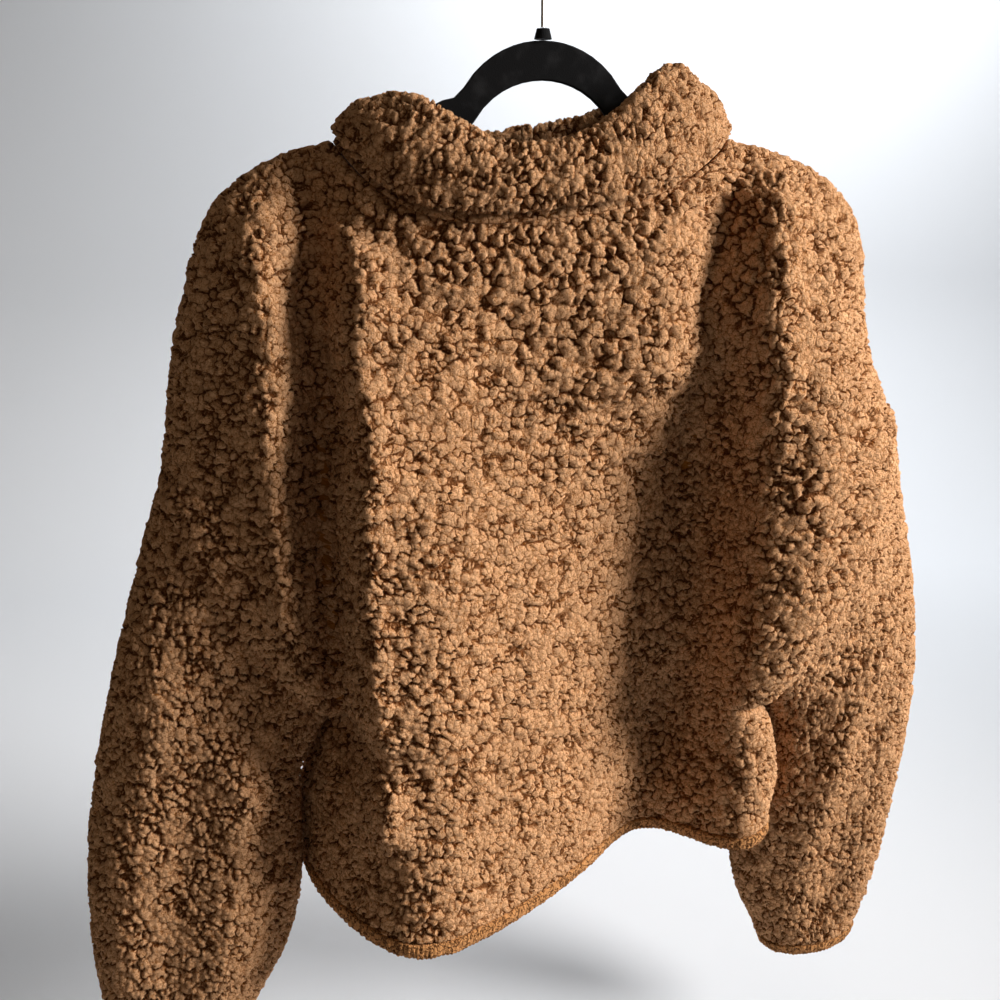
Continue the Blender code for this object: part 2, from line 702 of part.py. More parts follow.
def mesh_from_curve(shape, name):
    """A curve object's evaluated shape as a welded mesh in world space; the curve is removed."""
    evaluated = shape.evaluated_get(bpy.context.evaluated_depsgraph_get())
    mesh = bpy.data.meshes.new_from_object(evaluated)
    mesh.name = name
    mesh.transform(shape.matrix_world)
    welded = bmesh.new()
    welded.from_mesh(mesh)
    bmesh.ops.remove_doubles(welded, verts=welded.verts, dist=0.00001)
    bmesh.ops.recalc_face_normals(welded, faces=welded.faces)
    welded.to_mesh(mesh)
    welded.free()
    mesh.materials.clear()
    bpy.data.objects.remove(shape)
    return mesh


def hook_route():
    """Points of the hook's wire: the shank, a turn to one side and the open bend."""
    centre = np.array([0.0, -HOOK_RADIUS])
    radius = HOOK_RADIUS + HOOK_WIRE
    bend = []
    for angle in np.linspace(-62.0, 212.0, 19):
        turn = math.radians(angle)
        bend.append(centre + radius * np.array([math.cos(turn), math.sin(turn)]))
    shank_low = np.array([0.0, ARCH_TOP + BOSS_HEIGHT + SEAM_GAP])
    shank_top = np.array([0.0, centre[1] - radius - 0.020])
    start = bend[0]
    lead = np.array([math.sin(math.radians(62.0)), math.cos(math.radians(62.0))]) * 0.014
    turn_in = []
    for p in np.linspace(0.0, 1.0, 7)[:-1]:
        pull_low = shank_top + np.array([0.0, 0.014])
        pull_high = start - lead
        turn_in.append((1 - p) ** 3 * shank_top + 3 * (1 - p) ** 2 * p * pull_low
                       + 3 * (1 - p) * p**2 * pull_high + p**3 * start)
    return [shank_low] + turn_in + bend


def make_hook(collection, material):
    """The bent wire hook."""
    curve = bpy.data.curves.new("hook_wire", "CURVE")
    curve.dimensions = "3D"
    curve.bevel_depth = HOOK_WIRE
    curve.bevel_resolution = 2
    curve.use_fill_caps = True
    spline = curve.splines.new("POLY")
    route = hook_route()
    spline.points.add(len(route) - 1)
    for point, (x, z) in zip(spline.points, route):
        point.co = (x, 0.0, z, 1.0)
    shape = bpy.data.objects.new("hook_wire", curve)
    collection.objects.link(shape)
    bpy.context.view_layer.update()
    mesh = mesh_from_curve(shape, "hanger_hook")
    return add_object("hanger_hook", mesh, material, collection)


def make_boss(collection, material):
    """The small flocked collar round the foot of the wire."""
    bpy.ops.mesh.primitive_cone_add(vertices=24, radius1=BOSS_RADIUS, radius2=BOSS_RADIUS * 0.72,
                                    depth=BOSS_HEIGHT - SEAM_GAP,
                                    location=(0.0, 0.0, ARCH_TOP + (BOSS_HEIGHT + SEAM_GAP) / 2.0))
    boss = bpy.context.active_object
    boss.name = "hanger_boss"
    boss.data.name = "hanger_boss"
    for owner in list(boss.users_collection):
        owner.objects.unlink(boss)
    collection.objects.link(boss)
    boss.data.shade_smooth()
    boss.data.set_sharp_from_angle(angle=math.radians(40))
    boss.data.materials.append(material)
    return boss


# ---------------------------------------------------------------- assembly
def main():
    """Build every piece of the jacket and its hanger."""
    for item in list(bpy.data.objects):
        bpy.data.objects.remove(item)
    collection = bpy.data.collections.new("sherpa_jacket_on_hanger")
    bpy.context.scene.collection.children.link(collection)
    shells = jacket_shells()
    band = make_neck_band(shells)
    collar = make_collar(shells, band)
    for name, hem_name in (("back", "hem_back"), ("front_left", "hem_front_left"),
                           ("front_right", "hem_front_right")):
        panel, edge = hem_cut(shells[name])
        outer = pull_columns(pull_rows(panel.outer), last=name == "back")
        inner = pull_columns(pull_rows(panel.inner), last=name == "back")
        add_object(name, wall_between(name, outer, inner), make_material("sherpa"), collection)
        strip = bound_edge(edge)
        hem = wall_between(hem_name, pull_columns(strip.outer, last=name == "back"),
                           pull_columns(strip.inner, last=name == "back"))
        add_object(hem_name, hem, make_material("binding"), collection)
    for name, cuff_name in (("sleeve_left", "cuff_left"), ("sleeve_right", "cuff_right")):
        tube, edge = hem_cut(shells[name])
        sleeve = tube_between(name, pull_rows(tube.outer), pull_rows(tube.inner))
        add_object(name, sleeve, make_material("sherpa"), collection)
        strip = bound_edge(edge)
        cuff = tube_between(cuff_name, strip.outer, strip.inner)
        add_object(cuff_name, cuff, make_material("binding"), collection)
    strip = wall_between("neck_band", band.outer, band.inner)
    add_object("neck_band", strip, make_material("sherpa"), collection)
    fold = wall_between("collar", collar.outer, collar.inner)
    add_object("collar", fold, make_material("sherpa"), collection)
    make_hanger(collection, make_material("flock"))
    make_boss(collection, make_material("flock"))
    make_hook(collection, make_material("wire"))


main()
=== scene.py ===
"""Looks of the sherpa jacket on its hanger: nubbed pile, bound edges, flock and wire."""
from __future__ import annotations

import logging
import math
from dataclasses import dataclass
from enum import Enum
from typing import Any, Callable, Sequence, Union

import bpy
import numpy as np
from mathutils import Matrix, Vector

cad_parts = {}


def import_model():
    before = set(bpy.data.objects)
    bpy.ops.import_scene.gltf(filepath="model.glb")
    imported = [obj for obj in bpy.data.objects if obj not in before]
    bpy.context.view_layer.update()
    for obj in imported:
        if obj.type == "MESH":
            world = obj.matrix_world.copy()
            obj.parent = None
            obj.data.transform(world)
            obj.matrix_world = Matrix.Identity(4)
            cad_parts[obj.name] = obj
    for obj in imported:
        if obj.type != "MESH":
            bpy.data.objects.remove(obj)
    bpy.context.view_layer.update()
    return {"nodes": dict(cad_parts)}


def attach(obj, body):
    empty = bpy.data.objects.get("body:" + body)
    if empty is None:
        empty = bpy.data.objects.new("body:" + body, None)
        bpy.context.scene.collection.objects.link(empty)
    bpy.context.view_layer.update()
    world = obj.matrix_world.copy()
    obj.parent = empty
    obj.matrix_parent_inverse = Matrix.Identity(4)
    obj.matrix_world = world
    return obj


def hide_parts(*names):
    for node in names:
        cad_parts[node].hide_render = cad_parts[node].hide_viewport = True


LOG = logging.getLogger("sherpa_jacket")
Array = np.ndarray

# ---------------------------------------------------------------- sizes, in metres
WALL = 0.006
INNER_DEPTH = 0.0056       # where the ground of the cloth lies under the pile's tops
INNER_STEP = 4             # outer cells to one cell of a piece's inner face
PILE_LIFT = 0.0008         # how far a clump's top stands over the cut's surface
LUMP_RISE, LUMP_SIZE = 0.0008, 0.020
CURL_RISE, CURL_SIZE = 0.00035, 0.0044
SEAM_SINK = 0.30           # how deep a seam lies in the pile, as a share of the pile's depth
SEAM_FADE = 0.0026         # how far from an edge the pile stands freely
SLEEVE_BLEND = 0.012       # how far a seam's shared normals reach into a sleeve
BODY_BLEND = 0.010         # and into the body
HEM_WIDTH = 0.013
HEM_SWELL = 0.0012
BAND_FLAT = 0.024          # a binding's width before it is folded over
THREAD_PITCH = 0.0034      # from one ridge of a binding to the next
THREAD_RISE = 0.00045
THREAD_UNEVEN = 0.0007
THREAD_CELL = 0.0009
BAND_HEIGHT = 0.0075
COLLAR_CORE = 0.0030
COLLAR_LOOSE = 0.0014
COLLAR_PUFF = 0.0045
COLLAR_DIAGONAL = 0.0230
COLLAR_DIAGONAL_FRONT = 0.0080
DIAGONAL_SCALE = 256.0 / 27.0
NECK_TILT = 0.10
FRONT_GAP = 0.0012

# The pile's pattern, in lobes or clumps.
PILE_GROOVE = 1.05         # the width of the mesh's grooves between clumps, in lobes
PILE_CRACK = 0.62          # and of the crack at their bottom in the material, whose darkness is painted shade
MESH_LOBES = 0.12          # the depth of a clump's own creases in the mesh, against a groove's 1
SHADE_LOBES = 0.34         # and in the material
LOBE = 0.42                # the width of a lobe, in clumps
CLUMP_SPREAD = 0.86        # how unevenly the clumps are scattered
PATTERN_STEP = 7.3         # how far apart two pieces' patterns lie, in clumps

NECK, ARMHOLE_TOP, UNDERARM, HEM = 0.0, 7.0, 8.0, 10.0

# Cells of the shown grids.
SHOULDER_CELLS = 112
ARM_CELLS = 132
SIDE_CELLS = 84
BACK_CELLS = 272
FRONT_CELLS = 96
SLEEVE_CELLS = 224


class Side(Enum):
    """The wearer's sides, by the sign of X."""

    LEFT = 1
    RIGHT = -1


class Face(Enum):
    """The back and the front of the body, by the sign of Y."""

    BACK = 1
    FRONT = -1


class Finish(Enum):
    """The record's material slots."""

    SHERPA = "sherpa"
    BINDING = "binding"
    FLOCK = "flock"
    WIRE = "wire"


# ---------------------------------------------------------------- tables of the cut
@dataclass(frozen=True)
class BodyRow:
    """One level of the body: where it ends at each side and how far it stands out."""

    v: float
    left_x: float
    left_z: float
    left_y: float
    right_x: float
    right_z: float
    right_y: float
    back_z: float
    front_z: float
    back_y: float
    front_y: float
    roundness: float
    rise: float


BODY = (
    BodyRow(0.0, .147, -.1665, 0, -.132, -.1650, 0, -.217, -.225, .067, -.056, 2.8, 3.0),
    BodyRow(1.0, .172, -.1730, 0, -.166, -.1725, 0, -.240, -.249, .067, -.056, 3.2, 2.8),
    BodyRow(2.0, .201, -.1850, 0, -.199, -.1855, 0, -.264, -.275, .067, -.056, 3.8, 2.4),
    BodyRow(3.0, .229, -.2060, 0, -.224, -.2050, 0, -.292, -.310, .067, -.056, 4.5, 2.2),
    BodyRow(4.0, .245, -.2340, 0, -.238, -.2310, 0, -.322, -.338, .067, -.056, 5.5, 2.0),
    BodyRow(5.0, .256, -.2680, 0, -.244, -.2680, 0, -.354, -.368, .067, -.057, 6.5, 2.0),
    BodyRow(6.0, .269, -.3130, 0, -.253, -.3120, 0, -.390, -.402, .067, -.058, 7.5, 2.0),
    BodyRow(7.0, .283, -.3950, 0, -.273, -.3580, 0, -.430, -.440, .067, -.059, 8.0, 2.0),
    BodyRow(8.0, .168, -.6050, 0, -.190, -.6100, 0, -.602, -.598, .070, -.072, 2.9, 2.0),
    BodyRow(8.5, .187, -.6420, -.016, -.2065, -.6420, .002, -.643, -.637, .071, -.079, 2.5, 2.0),
    BodyRow(9.0, .201, -.6800, -.030, -.2140, -.6750, .002, -.684, -.676, .072, -.086, 2.5, 2.0),
    BodyRow(10.0, .2050, -.7660, -.036, -.2130, -.7480, -.010, -.770, -.752, .070, -.100, 4.4, 2.0),
)
BODY_BELOW = tuple(row for row in BODY if row.v >= UNDERARM)
BODY_ABOVE = tuple(row for row in BODY if row.v <= ARMHOLE_TOP)


@dataclass(frozen=True)
class Armhole:
    """The loop where a sleeve is sewn on, from its top to the underarm."""

    top_x: float
    top_z: float
    under_x: float
    under_z: float
    bow: float
    depth: float


ARMHOLES = {
    Side.LEFT: Armhole(.283, -.395, .168, -.605, .009, .056),
    Side.RIGHT: Armhole(-.273, -.358, -.190, -.610, .011, .062),
}


@dataclass(frozen=True)
class Fold:
    """A soft ridge (positive) or trough (negative) that runs down a face of the body."""

    top_v: float
    end_v: float
    top_x: float
    end_x: float
    top_rise: float
    end_rise: float
    half_width: float
    sway: float = 0.0


# The last rows of each face are creases that only the looks have.
FOLDS = {
    Face.BACK: (
        Fold(0.0, 8.8, .160, .153, -.018, -.036, .028),
        Fold(0.0, 9.6, -.124, -.126, -.016, -.026, .028),
        Fold(2.0, 11.0, .110, .104, .003, .054, .074),
        Fold(2.0, 11.0, .020, -.030, -.002, -.012, .045),
        Fold(4.0, 11.0, -.085, -.106, -.002, -.104, .064),
        Fold(4.0, 8.6, -.205, -.190, .006, .018, .040),
        Fold(0.3, 8.9, .164, .160, -.009, -.026, .016, .006),
        Fold(0.3, 9.5, -.119, -.126, -.009, -.012, .014, .006),
        Fold(0.6, 8.8, -.158, -.154, .009, .018, .022, .003),
        Fold(0.8, 9.3, .136, .134, .014, .032, .019, .004),
        Fold(1.5, 8.3, .192, .187, .008, .015, .019, .004),
        Fold(3.0, 9.8, .056, .034, -.001, -.004, .020, .006),
    ),
    Face.FRONT: (
        Fold(0.0, 8.8, .150, .146, -.014, -.026, .032),
        Fold(0.0, 8.8, -.146, -.140, -.014, -.024, .034),
        Fold(3.0, 11.0, .100, .095, .004, .026, .050),
        Fold(3.0, 11.0, -.092, -.100, .004, .024, .046),
        Fold(5.0, 11.0, .040, .044, -.002, -.016, .034),
        Fold(0.5, 8.8, .152, .146, -.005, -.014, .016, .004),
        Fold(0.5, 8.8, -.148, -.140, -.005, -.013, .016, .004),
        Fold(4.0, 10.6, .070, .062, -.002, -.007, .018, .005),
        Fold(4.5, 10.6, -.052, -.060, -.002, -.007, .018, .005),
    ),
}
SWAY_LEVELS = 3.1          # levels in one sway of a crease


@dataclass(frozen=True)
class SleeveRow:
    """One ring of a sleeve: its outer and inner edge and its depth, front to back."""

    w: float
    outer_x: float
    outer_z: float
    inner_x: float
    inner_z: float
    middle_y: float
    depth: float
    bow: float


SLEEVES = {
    Side.LEFT: (
        SleeveRow(0, .283, -.395, .168, -.605, .000, .056, .009),
        SleeveRow(1, .295, -.430, .180, -.628, .002, .055, .007),
        SleeveRow(2, .310, -.478, .191, -.645, .007, .055, .005),
        SleeveRow(3, .327, -.532, .197, -.665, .013, .058, .003),
        SleeveRow(4, .344, -.587, .199, -.692, .012, .057, .001),
        SleeveRow(5, .358, -.641, .200, -.724, .012, .056, 0),
        SleeveRow(6, .369, -.696, .202, -.758, .016, .055, 0),
        SleeveRow(7, .375, -.752, .208, -.791, .020, .053, 0),
        SleeveRow(8, .377, -.806, .221, -.825, .024, .049, 0),
        SleeveRow(9, .373, -.856, .241, -.862, .027, .043, 0),
        SleeveRow(10, .360, -.900, .261, -.900, .029, .034, 0),
    ),
    Side.RIGHT: (
        SleeveRow(0, -.273, -.358, -.190, -.610, .000, .062, .011),
        SleeveRow(1, -.290, -.398, -.203, -.630, -.009, .051, .009),
        SleeveRow(2, -.308, -.446, -.214, -.656, -.019, .046, .007),
        SleeveRow(3, -.326, -.496, -.221, -.690, -.027, .047, .004),
        SleeveRow(4, -.342, -.550, -.222, -.724, -.036, .050, .002),
        SleeveRow(5, -.354, -.611, -.220, -.760, -.044, .053, 0),
        SleeveRow(6, -.360, -.674, -.212, -.796, -.052, .053, 0),
        SleeveRow(7, -.361, -.736, -.206, -.830, -.057, .050, 0),
        SleeveRow(8, -.358, -.797, -.214, -.865, -.059, .045, 0),
        SleeveRow(9, -.350, -.860, -.230, -.902, -.059, .038, 0),
        SleeveRow(10, -.335, -.922, -.246, -.938, -.058, .030, 0),
    ),
}
SLEEVE_END = 10.0


@dataclass(frozen=True)
class SleeveFold:
    """A soft ridge or trough along a sleeve; turn is where it lies round the ring, in degrees."""

    top_w: float
    end_w: float
    top_turn: float
    end_turn: float
    rise: float
    half_width: float


SLEEVE_FOLDS = {
    Side.LEFT: (
        SleeveFold(1.0, 9.6, 95, 80, -.010, 20),
        SleeveFold(1.5, 9.8, 130, 118, .007, 18),
        SleeveFold(1.0, 9.4, 262, 272, -.008, 20),
    ),
    Side.RIGHT: (
        SleeveFold(3.5, 9.8, 70, 88, -.008, 22),
        SleeveFold(2.0, 9.0, 120, 130, -.006, 18),
        SleeveFold(1.0, 9.4, 275, 262, -.008, 20),
    ),
}


@dataclass(frozen=True)
class CollarStation:
    """How the collar stands and leans at one place round the neck."""

    height: float
    lean: float


COLLAR = {
    "back": CollarStation(.0460, .0090),
    "left": CollarStation(.0230, .0430),
    "right": CollarStation(.0350, .0390),
    "front": CollarStation(.0680, .0120),
}


@dataclass(frozen=True)
class Pile:
    """How a piece's pile looks: the size of its clumps, its depth and its seed."""

    spacing: float
    depth: float
    seed: int


# ---------------------------------------------------------------- small helpers
def add_object(name: str, data: Any) -> bpy.types.Object:
    """An object in the scene."""
    item = bpy.data.objects.new(name, data)
    bpy.context.scene.collection.objects.link(item)
    return item


def smoothstep(x: Array | float) -> Array:
    """0 below 0, 1 above 1 and an even ease between."""
    x = np.clip(x, 0.0, 1.0)
    return x * x * (3.0 - 2.0 * x)


def table_value(rows: Sequence[Any], key: str, column: str, at: Array) -> Array:
    """Read a table's column at any value of its key, on a smooth curve through its rows."""
    keys = np.array([getattr(row, key) for row in rows], float)
    values = np.array([getattr(row, column) for row in rows], float)
    slopes = np.gradient(values, keys)
    at = np.clip(np.asarray(at, float), keys[0], keys[-1])
    cell = np.clip(np.searchsorted(keys, at, side="right") - 1, 0, len(keys) - 2)
    width = keys[cell + 1] - keys[cell]
    p = (at - keys[cell]) / width
    start = values[cell] * (2 * p**3 - 3 * p**2 + 1) + slopes[cell] * width * (p**3 - 2 * p**2 + p)
    end = values[cell + 1] * (3 * p**2 - 2 * p**3) + slopes[cell + 1] * width * (p**3 - p**2)
    return start + end


def unit(vectors: Array) -> Array:
    """Vectors scaled to length 1."""
    return vectors / np.maximum(np.linalg.norm(vectors, axis=-1, keepdims=True), 1e-12)


def ring_loop(outer: Array, inner: Array, bow: Array | float, turn: Array) -> Array:
    """Points of a ring in the XZ plane; turn 0 is the outer edge and pi the inner one."""
    along = inner - outer
    normal = unit(np.stack([-along[..., 1], along[..., 0]], -1))
    normal = normal * np.sign(outer[..., :1] * normal[..., :1])
    part = (1.0 - np.cos(turn))[..., None] / 2.0
    return outer + along * part + normal * (bow * np.abs(np.sin(turn)))[..., None]


def travel(grid: Array, axis: int, closed: bool = False) -> Array:
    """The distance walked along a grid's rows (axis 0) or columns (axis 1), from 0.

    Args:
        grid: Points, rows by columns by 3.
        axis: The direction of the walk.
        closed: Whether the walk ends with the step back to its first point.

    Returns:
        Distances, with one more entry than the grid has along a closed axis.
    """
    if closed:
        grid = np.concatenate([grid, np.take(grid, [0], axis=axis)], axis=axis)
    steps = np.linalg.norm(np.diff(grid, axis=axis), axis=-1)
    start = np.zeros_like(np.take(steps, [0], axis=axis))
    return np.concatenate([start, np.cumsum(steps, axis=axis)], axis=axis)


def wobble(points: Array, wavelength: float, seed: int) -> Array:
    """Smooth noise from -1 to 1 in three channels, for points in space."""
    rng = np.random.default_rng(seed)
    total = np.zeros(points.shape)
    x, y, z = (points[..., axis] * (2.0 * math.pi / wavelength) for axis in range(3))
    for channel in range(3):
        for _ in range(6):
            a, b, c = unit(rng.normal(size=3)) * rng.uniform(0.7, 1.4)
            total[..., channel] += np.sin(x * a + y * b + z * c + rng.uniform(0.0, 2.0 * math.pi))
    return total / 3.0


# ---------------------------------------------------------------- surfaces of the cut
def body_edge(v: Array, side: Side) -> tuple[Array, Array, Array, Array]:
    """The X, Y, Z and half depth of the body's edge at a side, for levels v."""
    name = side.name.lower()
    hole = ARMHOLES[side]
    turn = np.clip(v - ARMHOLE_TOP, 0.0, 1.0) * math.pi
    top = np.broadcast_to(np.array([hole.top_x, hole.top_z]), v.shape + (2,))
    under = np.broadcast_to(np.array([hole.under_x, hole.under_z]), v.shape + (2,))
    loop = ring_loop(top, under, hole.bow, turn)
    place = []
    for axis, column in enumerate(("_x", "_z")):
        above = table_value(BODY_ABOVE, "v", name + column, v)
        value = np.where(v < ARMHOLE_TOP, above, loop[..., axis])
        below = table_value(BODY_BELOW, "v", name + column, v)
        place.append(np.where(v > UNDERARM, below, value))
    y = np.where(v > UNDERARM, table_value(BODY_BELOW, "v", name + "_y", v), 0.0)
    return place[0], y, place[1], hole.depth * np.sin(turn)


def body_surface(v: Array, t: Array, face: Face) -> Array:
    """The body's outer surface at levels v and places t, -1 at the right side and 1 at the left."""
    v, t = np.broadcast_arrays(np.asarray(v, float), np.asarray(t, float))
    across = np.abs(np.sin(t * math.pi / 2.0))
    left, right = body_edge(v, Side.LEFT), body_edge(v, Side.RIGHT)
    edge_x, edge_y, edge_z, edge_depth = (np.where(t >= 0.0, a, b) for a, b in zip(left, right))
    name = face.name.lower()
    middle_z = table_value(BODY, "v", name + "_z", v)
    depth = np.abs(table_value(BODY, "v", name + "_y", v))
    roundness = table_value(BODY, "v", "roundness", v)
    rise = table_value(BODY, "v", "rise", v)
    x = edge_x * across
    z = middle_z + (edge_z - middle_z) * across**rise
    z = z - NECK_TILT * x * (1.0 - across**4) * smoothstep(1.0 - v / 4.0)
    crown = np.sqrt(np.maximum(1.0 - across**roundness, 0.0))
    out = edge_depth + (depth - edge_y * face.value - edge_depth) * crown
    fade = 1.0 - across**8
    for fold in FOLDS[face]:
        part = (v - fold.top_v) / (fold.end_v - fold.top_v)
        middle = fold.top_x + (fold.end_x - fold.top_x) * part
        middle = middle + fold.sway * np.sin(v * 2.0 * math.pi / SWAY_LEVELS + fold.top_x * 40.0)
        height = fold.top_rise + (fold.end_rise - fold.top_rise) * part
        ends = smoothstep((v - fold.top_v) / 1.2) * smoothstep((fold.end_v - v) / 0.9)
        out = out + height * ends * fade * np.exp(-((x - middle) / fold.half_width) ** 2)
    return np.stack([x, edge_y + face.value * out, z], -1)


def sleeve_surface(side: Side, w: Array, turn: Array) -> Array:
    """A sleeve's outer surface; turn 0 is its outer edge, pi / 2 its back, pi its inner edge."""
    rows = SLEEVES[side]
    w, turn = np.broadcast_arrays(np.asarray(w, float), np.asarray(turn, float))
    outer = np.stack([table_value(rows, "w", "outer_x", w), table_value(rows, "w", "outer_z", w)], -1)
    inner = np.stack([table_value(rows, "w", "inner_x", w), table_value(rows, "w", "inner_z", w)], -1)
    flat = ring_loop(outer, inner, table_value(rows, "w", "bow", w), turn)
    depth = table_value(rows, "w", "depth", w)
    degrees = np.degrees(turn)
    for fold in SLEEVE_FOLDS[side]:
        part = (w - fold.top_w) / (fold.end_w - fold.top_w)
        middle = fold.top_turn + (fold.end_turn - fold.top_turn) * part
        ends = smoothstep(part * 4.0) * smoothstep((1.0 - part) * 4.0)
        depth = depth + fold.rise * ends * np.exp(-((degrees - middle) / fold.half_width) ** 2)
    y = table_value(rows, "w", "middle_y", w) + depth * np.sin(turn)
    return np.stack([flat[..., 0], y, flat[..., 1]], -1)


def even_turns(cells: int) -> Array:
    """Angles from 0 to pi that space points evenly along the armhole's loop."""
    dense = np.linspace(0.0, math.pi, 2001)
    points = np.stack([np.cos(dense) * 0.115, np.sin(dense) * 0.058], -1)[None]
    walked = travel(points, 1)[0]
    return np.interp(np.linspace(0.0, walked[-1], cells + 1), walked, dense)


def grid_normals(grid: Array, centre: Array, closed: bool = False) -> Array:
    """Outward normals of a grid of points, turned away from a centre line."""
    if closed:
        along = np.roll(grid, -1, axis=1) - np.roll(grid, 1, axis=1)
    else:
        along = np.gradient(grid, axis=1)
    normals = unit(np.cross(np.gradient(grid, axis=0), along))
    return normals * np.sign(np.sum(normals * (grid - centre), axis=-1).mean())


@dataclass
class Shell:
    """A panel's smooth outer surface and its outward normals."""

    grid: Array
    normals: Array
    closed: bool = False


def trim_end(grid: Array, amount: float) -> tuple[Array, Array]:
    """A grid shortened at its last row by a distance, and the strip that was cut off it."""
    walked = travel(grid, 0)
    rows = np.linspace(0.0, 1.0, grid.shape[0])
    kept = np.empty_like(grid)
    for column in range(grid.shape[1]):
        wanted = rows * (walked[-1, column] - amount)
        for axis in range(3):
            kept[:, column, axis] = np.interp(wanted, walked[:, column], grid[:, column, axis])
    return kept, np.stack([kept[-1], grid[-1]])


class Cut:
    """Works out every panel's shell, with shared normals at the seams."""

    def __init__(self) -> None:
        turns = even_turns(ARM_CELLS)
        self.levels = np.concatenate([
            np.linspace(NECK, ARMHOLE_TOP, SHOULDER_CELLS + 1),
            (ARMHOLE_TOP + turns / math.pi)[1:],
            np.linspace(UNDERARM, HEM, SIDE_CELLS + 1)[1:]])
        self.turns = np.concatenate([turns, 2.0 * math.pi - turns[-2:0:-1]])
        self.shells: dict[str, Shell] = {}
        self.strips: dict[str, Shell] = {}
        self._body()
        self._sleeves()
        self._share_seams()

    def _row_of_body(self, start: Array, end: Array, face: Face, cells: int) -> Array:
        """One face of the body between two places, its columns evenly spaced in each row."""
        v = self.levels[:, None]
        dense = start + (end - start) * np.linspace(0.0, 1.0, 4 * cells + 1)[None, :]
        walked = travel(body_surface(v, dense, face), 1)
        share = np.linspace(0.0, 1.0, cells + 1)
        places = [np.interp(share * walk[-1], walk, row) for walk, row in zip(walked, dense)]
        return body_surface(v, np.array(places), face)

    def _body(self) -> None:
        """The back and both fronts."""
        edges = {}
        for side in Side:
            reach = np.abs(body_edge(self.levels, side)[0])
            edges[side] = (np.arcsin(FRONT_GAP / 2.0 / reach) * 2.0 / math.pi * side.value)[:, None]
        one = np.ones((len(self.levels), 1))
        grids = {
            "back": self._row_of_body(one, -one, Face.BACK, BACK_CELLS),
            "front_left": self._row_of_body(one, edges[Side.LEFT], Face.FRONT, FRONT_CELLS),
            "front_right": self._row_of_body(-one, edges[Side.RIGHT], Face.FRONT, FRONT_CELLS),
        }
        upright = np.array([0.0, 0.0, 1.0])
        for name, grid in grids.items():
            full = grid_normals(grid, grid * upright)
            kept, _ = trim_end(grid, HEM_WIDTH)
            self.shells[name] = Shell(kept, grid_normals(kept, kept * upright))
            self.strips["hem_" + name] = Shell(np.stack([kept[-1], grid[-1]]),
                                               np.stack([full[-1], full[-1]]))

    def _sleeves(self) -> None:
        """Both sleeves, ring 0 on the armhole."""
        w = np.linspace(0.0, SLEEVE_END, SLEEVE_CELLS + 1)[:, None]
        for side in Side:
            grid = sleeve_surface(side, w, self.turns[None, :])
            full = grid_normals(grid, grid.mean(axis=1, keepdims=True), closed=True)
            closed = np.concatenate([grid, grid[:, :1]], axis=1)
            kept = trim_end(closed, HEM_WIDTH)[0][:, :-1]
            centre = kept.mean(axis=1, keepdims=True)
            name = side.name.lower()
            self.shells["sleeve_" + name] = Shell(kept, grid_normals(kept, centre, True), True)
            self.strips["cuff_" + name] = Shell(np.stack([kept[-1], grid[-1]]),
                                                np.stack([full[-1], full[-1]]), True)

    def _share_seams(self) -> None:
        """Give panels that meet the same normals along their seam."""
        first, last = SHOULDER_CELLS, SHOULDER_CELLS + ARM_CELLS
        back = self.shells["back"].normals
        for side, column in ((Side.LEFT, 0), (Side.RIGHT, -1)):
            name = side.name.lower()
            front = self.shells["front_" + name].normals
            sleeve = self.shells["sleeve_" + name].normals
            shared_back = unit(back[:, column] + front[:, 0])
            shared_front = shared_back.copy()
            behind = np.arange(ARM_CELLS + 1)
            before = (-behind) % (2 * ARM_CELLS)
            rows = slice(first, last + 1)
            ring_back = unit(back[rows, column] + sleeve[0, behind])
            ring_front = unit(front[rows, 0] + sleeve[0, before])
            for end, row in ((0, first), (-1, last)):
                corner = unit(shared_back[row] + sleeve[0, behind[end]])
                ring_back[end] = corner
                ring_front[end] = corner
            shared_back[rows] = ring_back
            shared_front[rows] = ring_front
            self._blend_edge(self.shells["back"], shared_back, column)
            self._blend_edge(self.shells["front_" + name], shared_front, 0)
            ring = np.empty_like(sleeve[0])
            ring[before] = ring_front
            ring[behind] = ring_back
            walked = travel(self.shells["sleeve_" + name].grid, 0)
            weight = smoothstep(1.0 - walked / SLEEVE_BLEND)[..., None]
            blended = unit(ring[None] * weight + sleeve * (1.0 - weight))
            self.shells["sleeve_" + name].normals = blended

    def _blend_edge(self, shell: Shell, shared: Array, column: int) -> None:
        """Ease a panel's normals into shared ones at its first or last column."""
        walked = travel(shell.grid, 1)
        walked = walked if column == 0 else walked[:, -1:] - walked
        weight = smoothstep(1.0 - walked / BODY_BLEND)[..., None]
        shell.normals = unit(shared[:, None] * weight + shell.normals * (1.0 - weight))


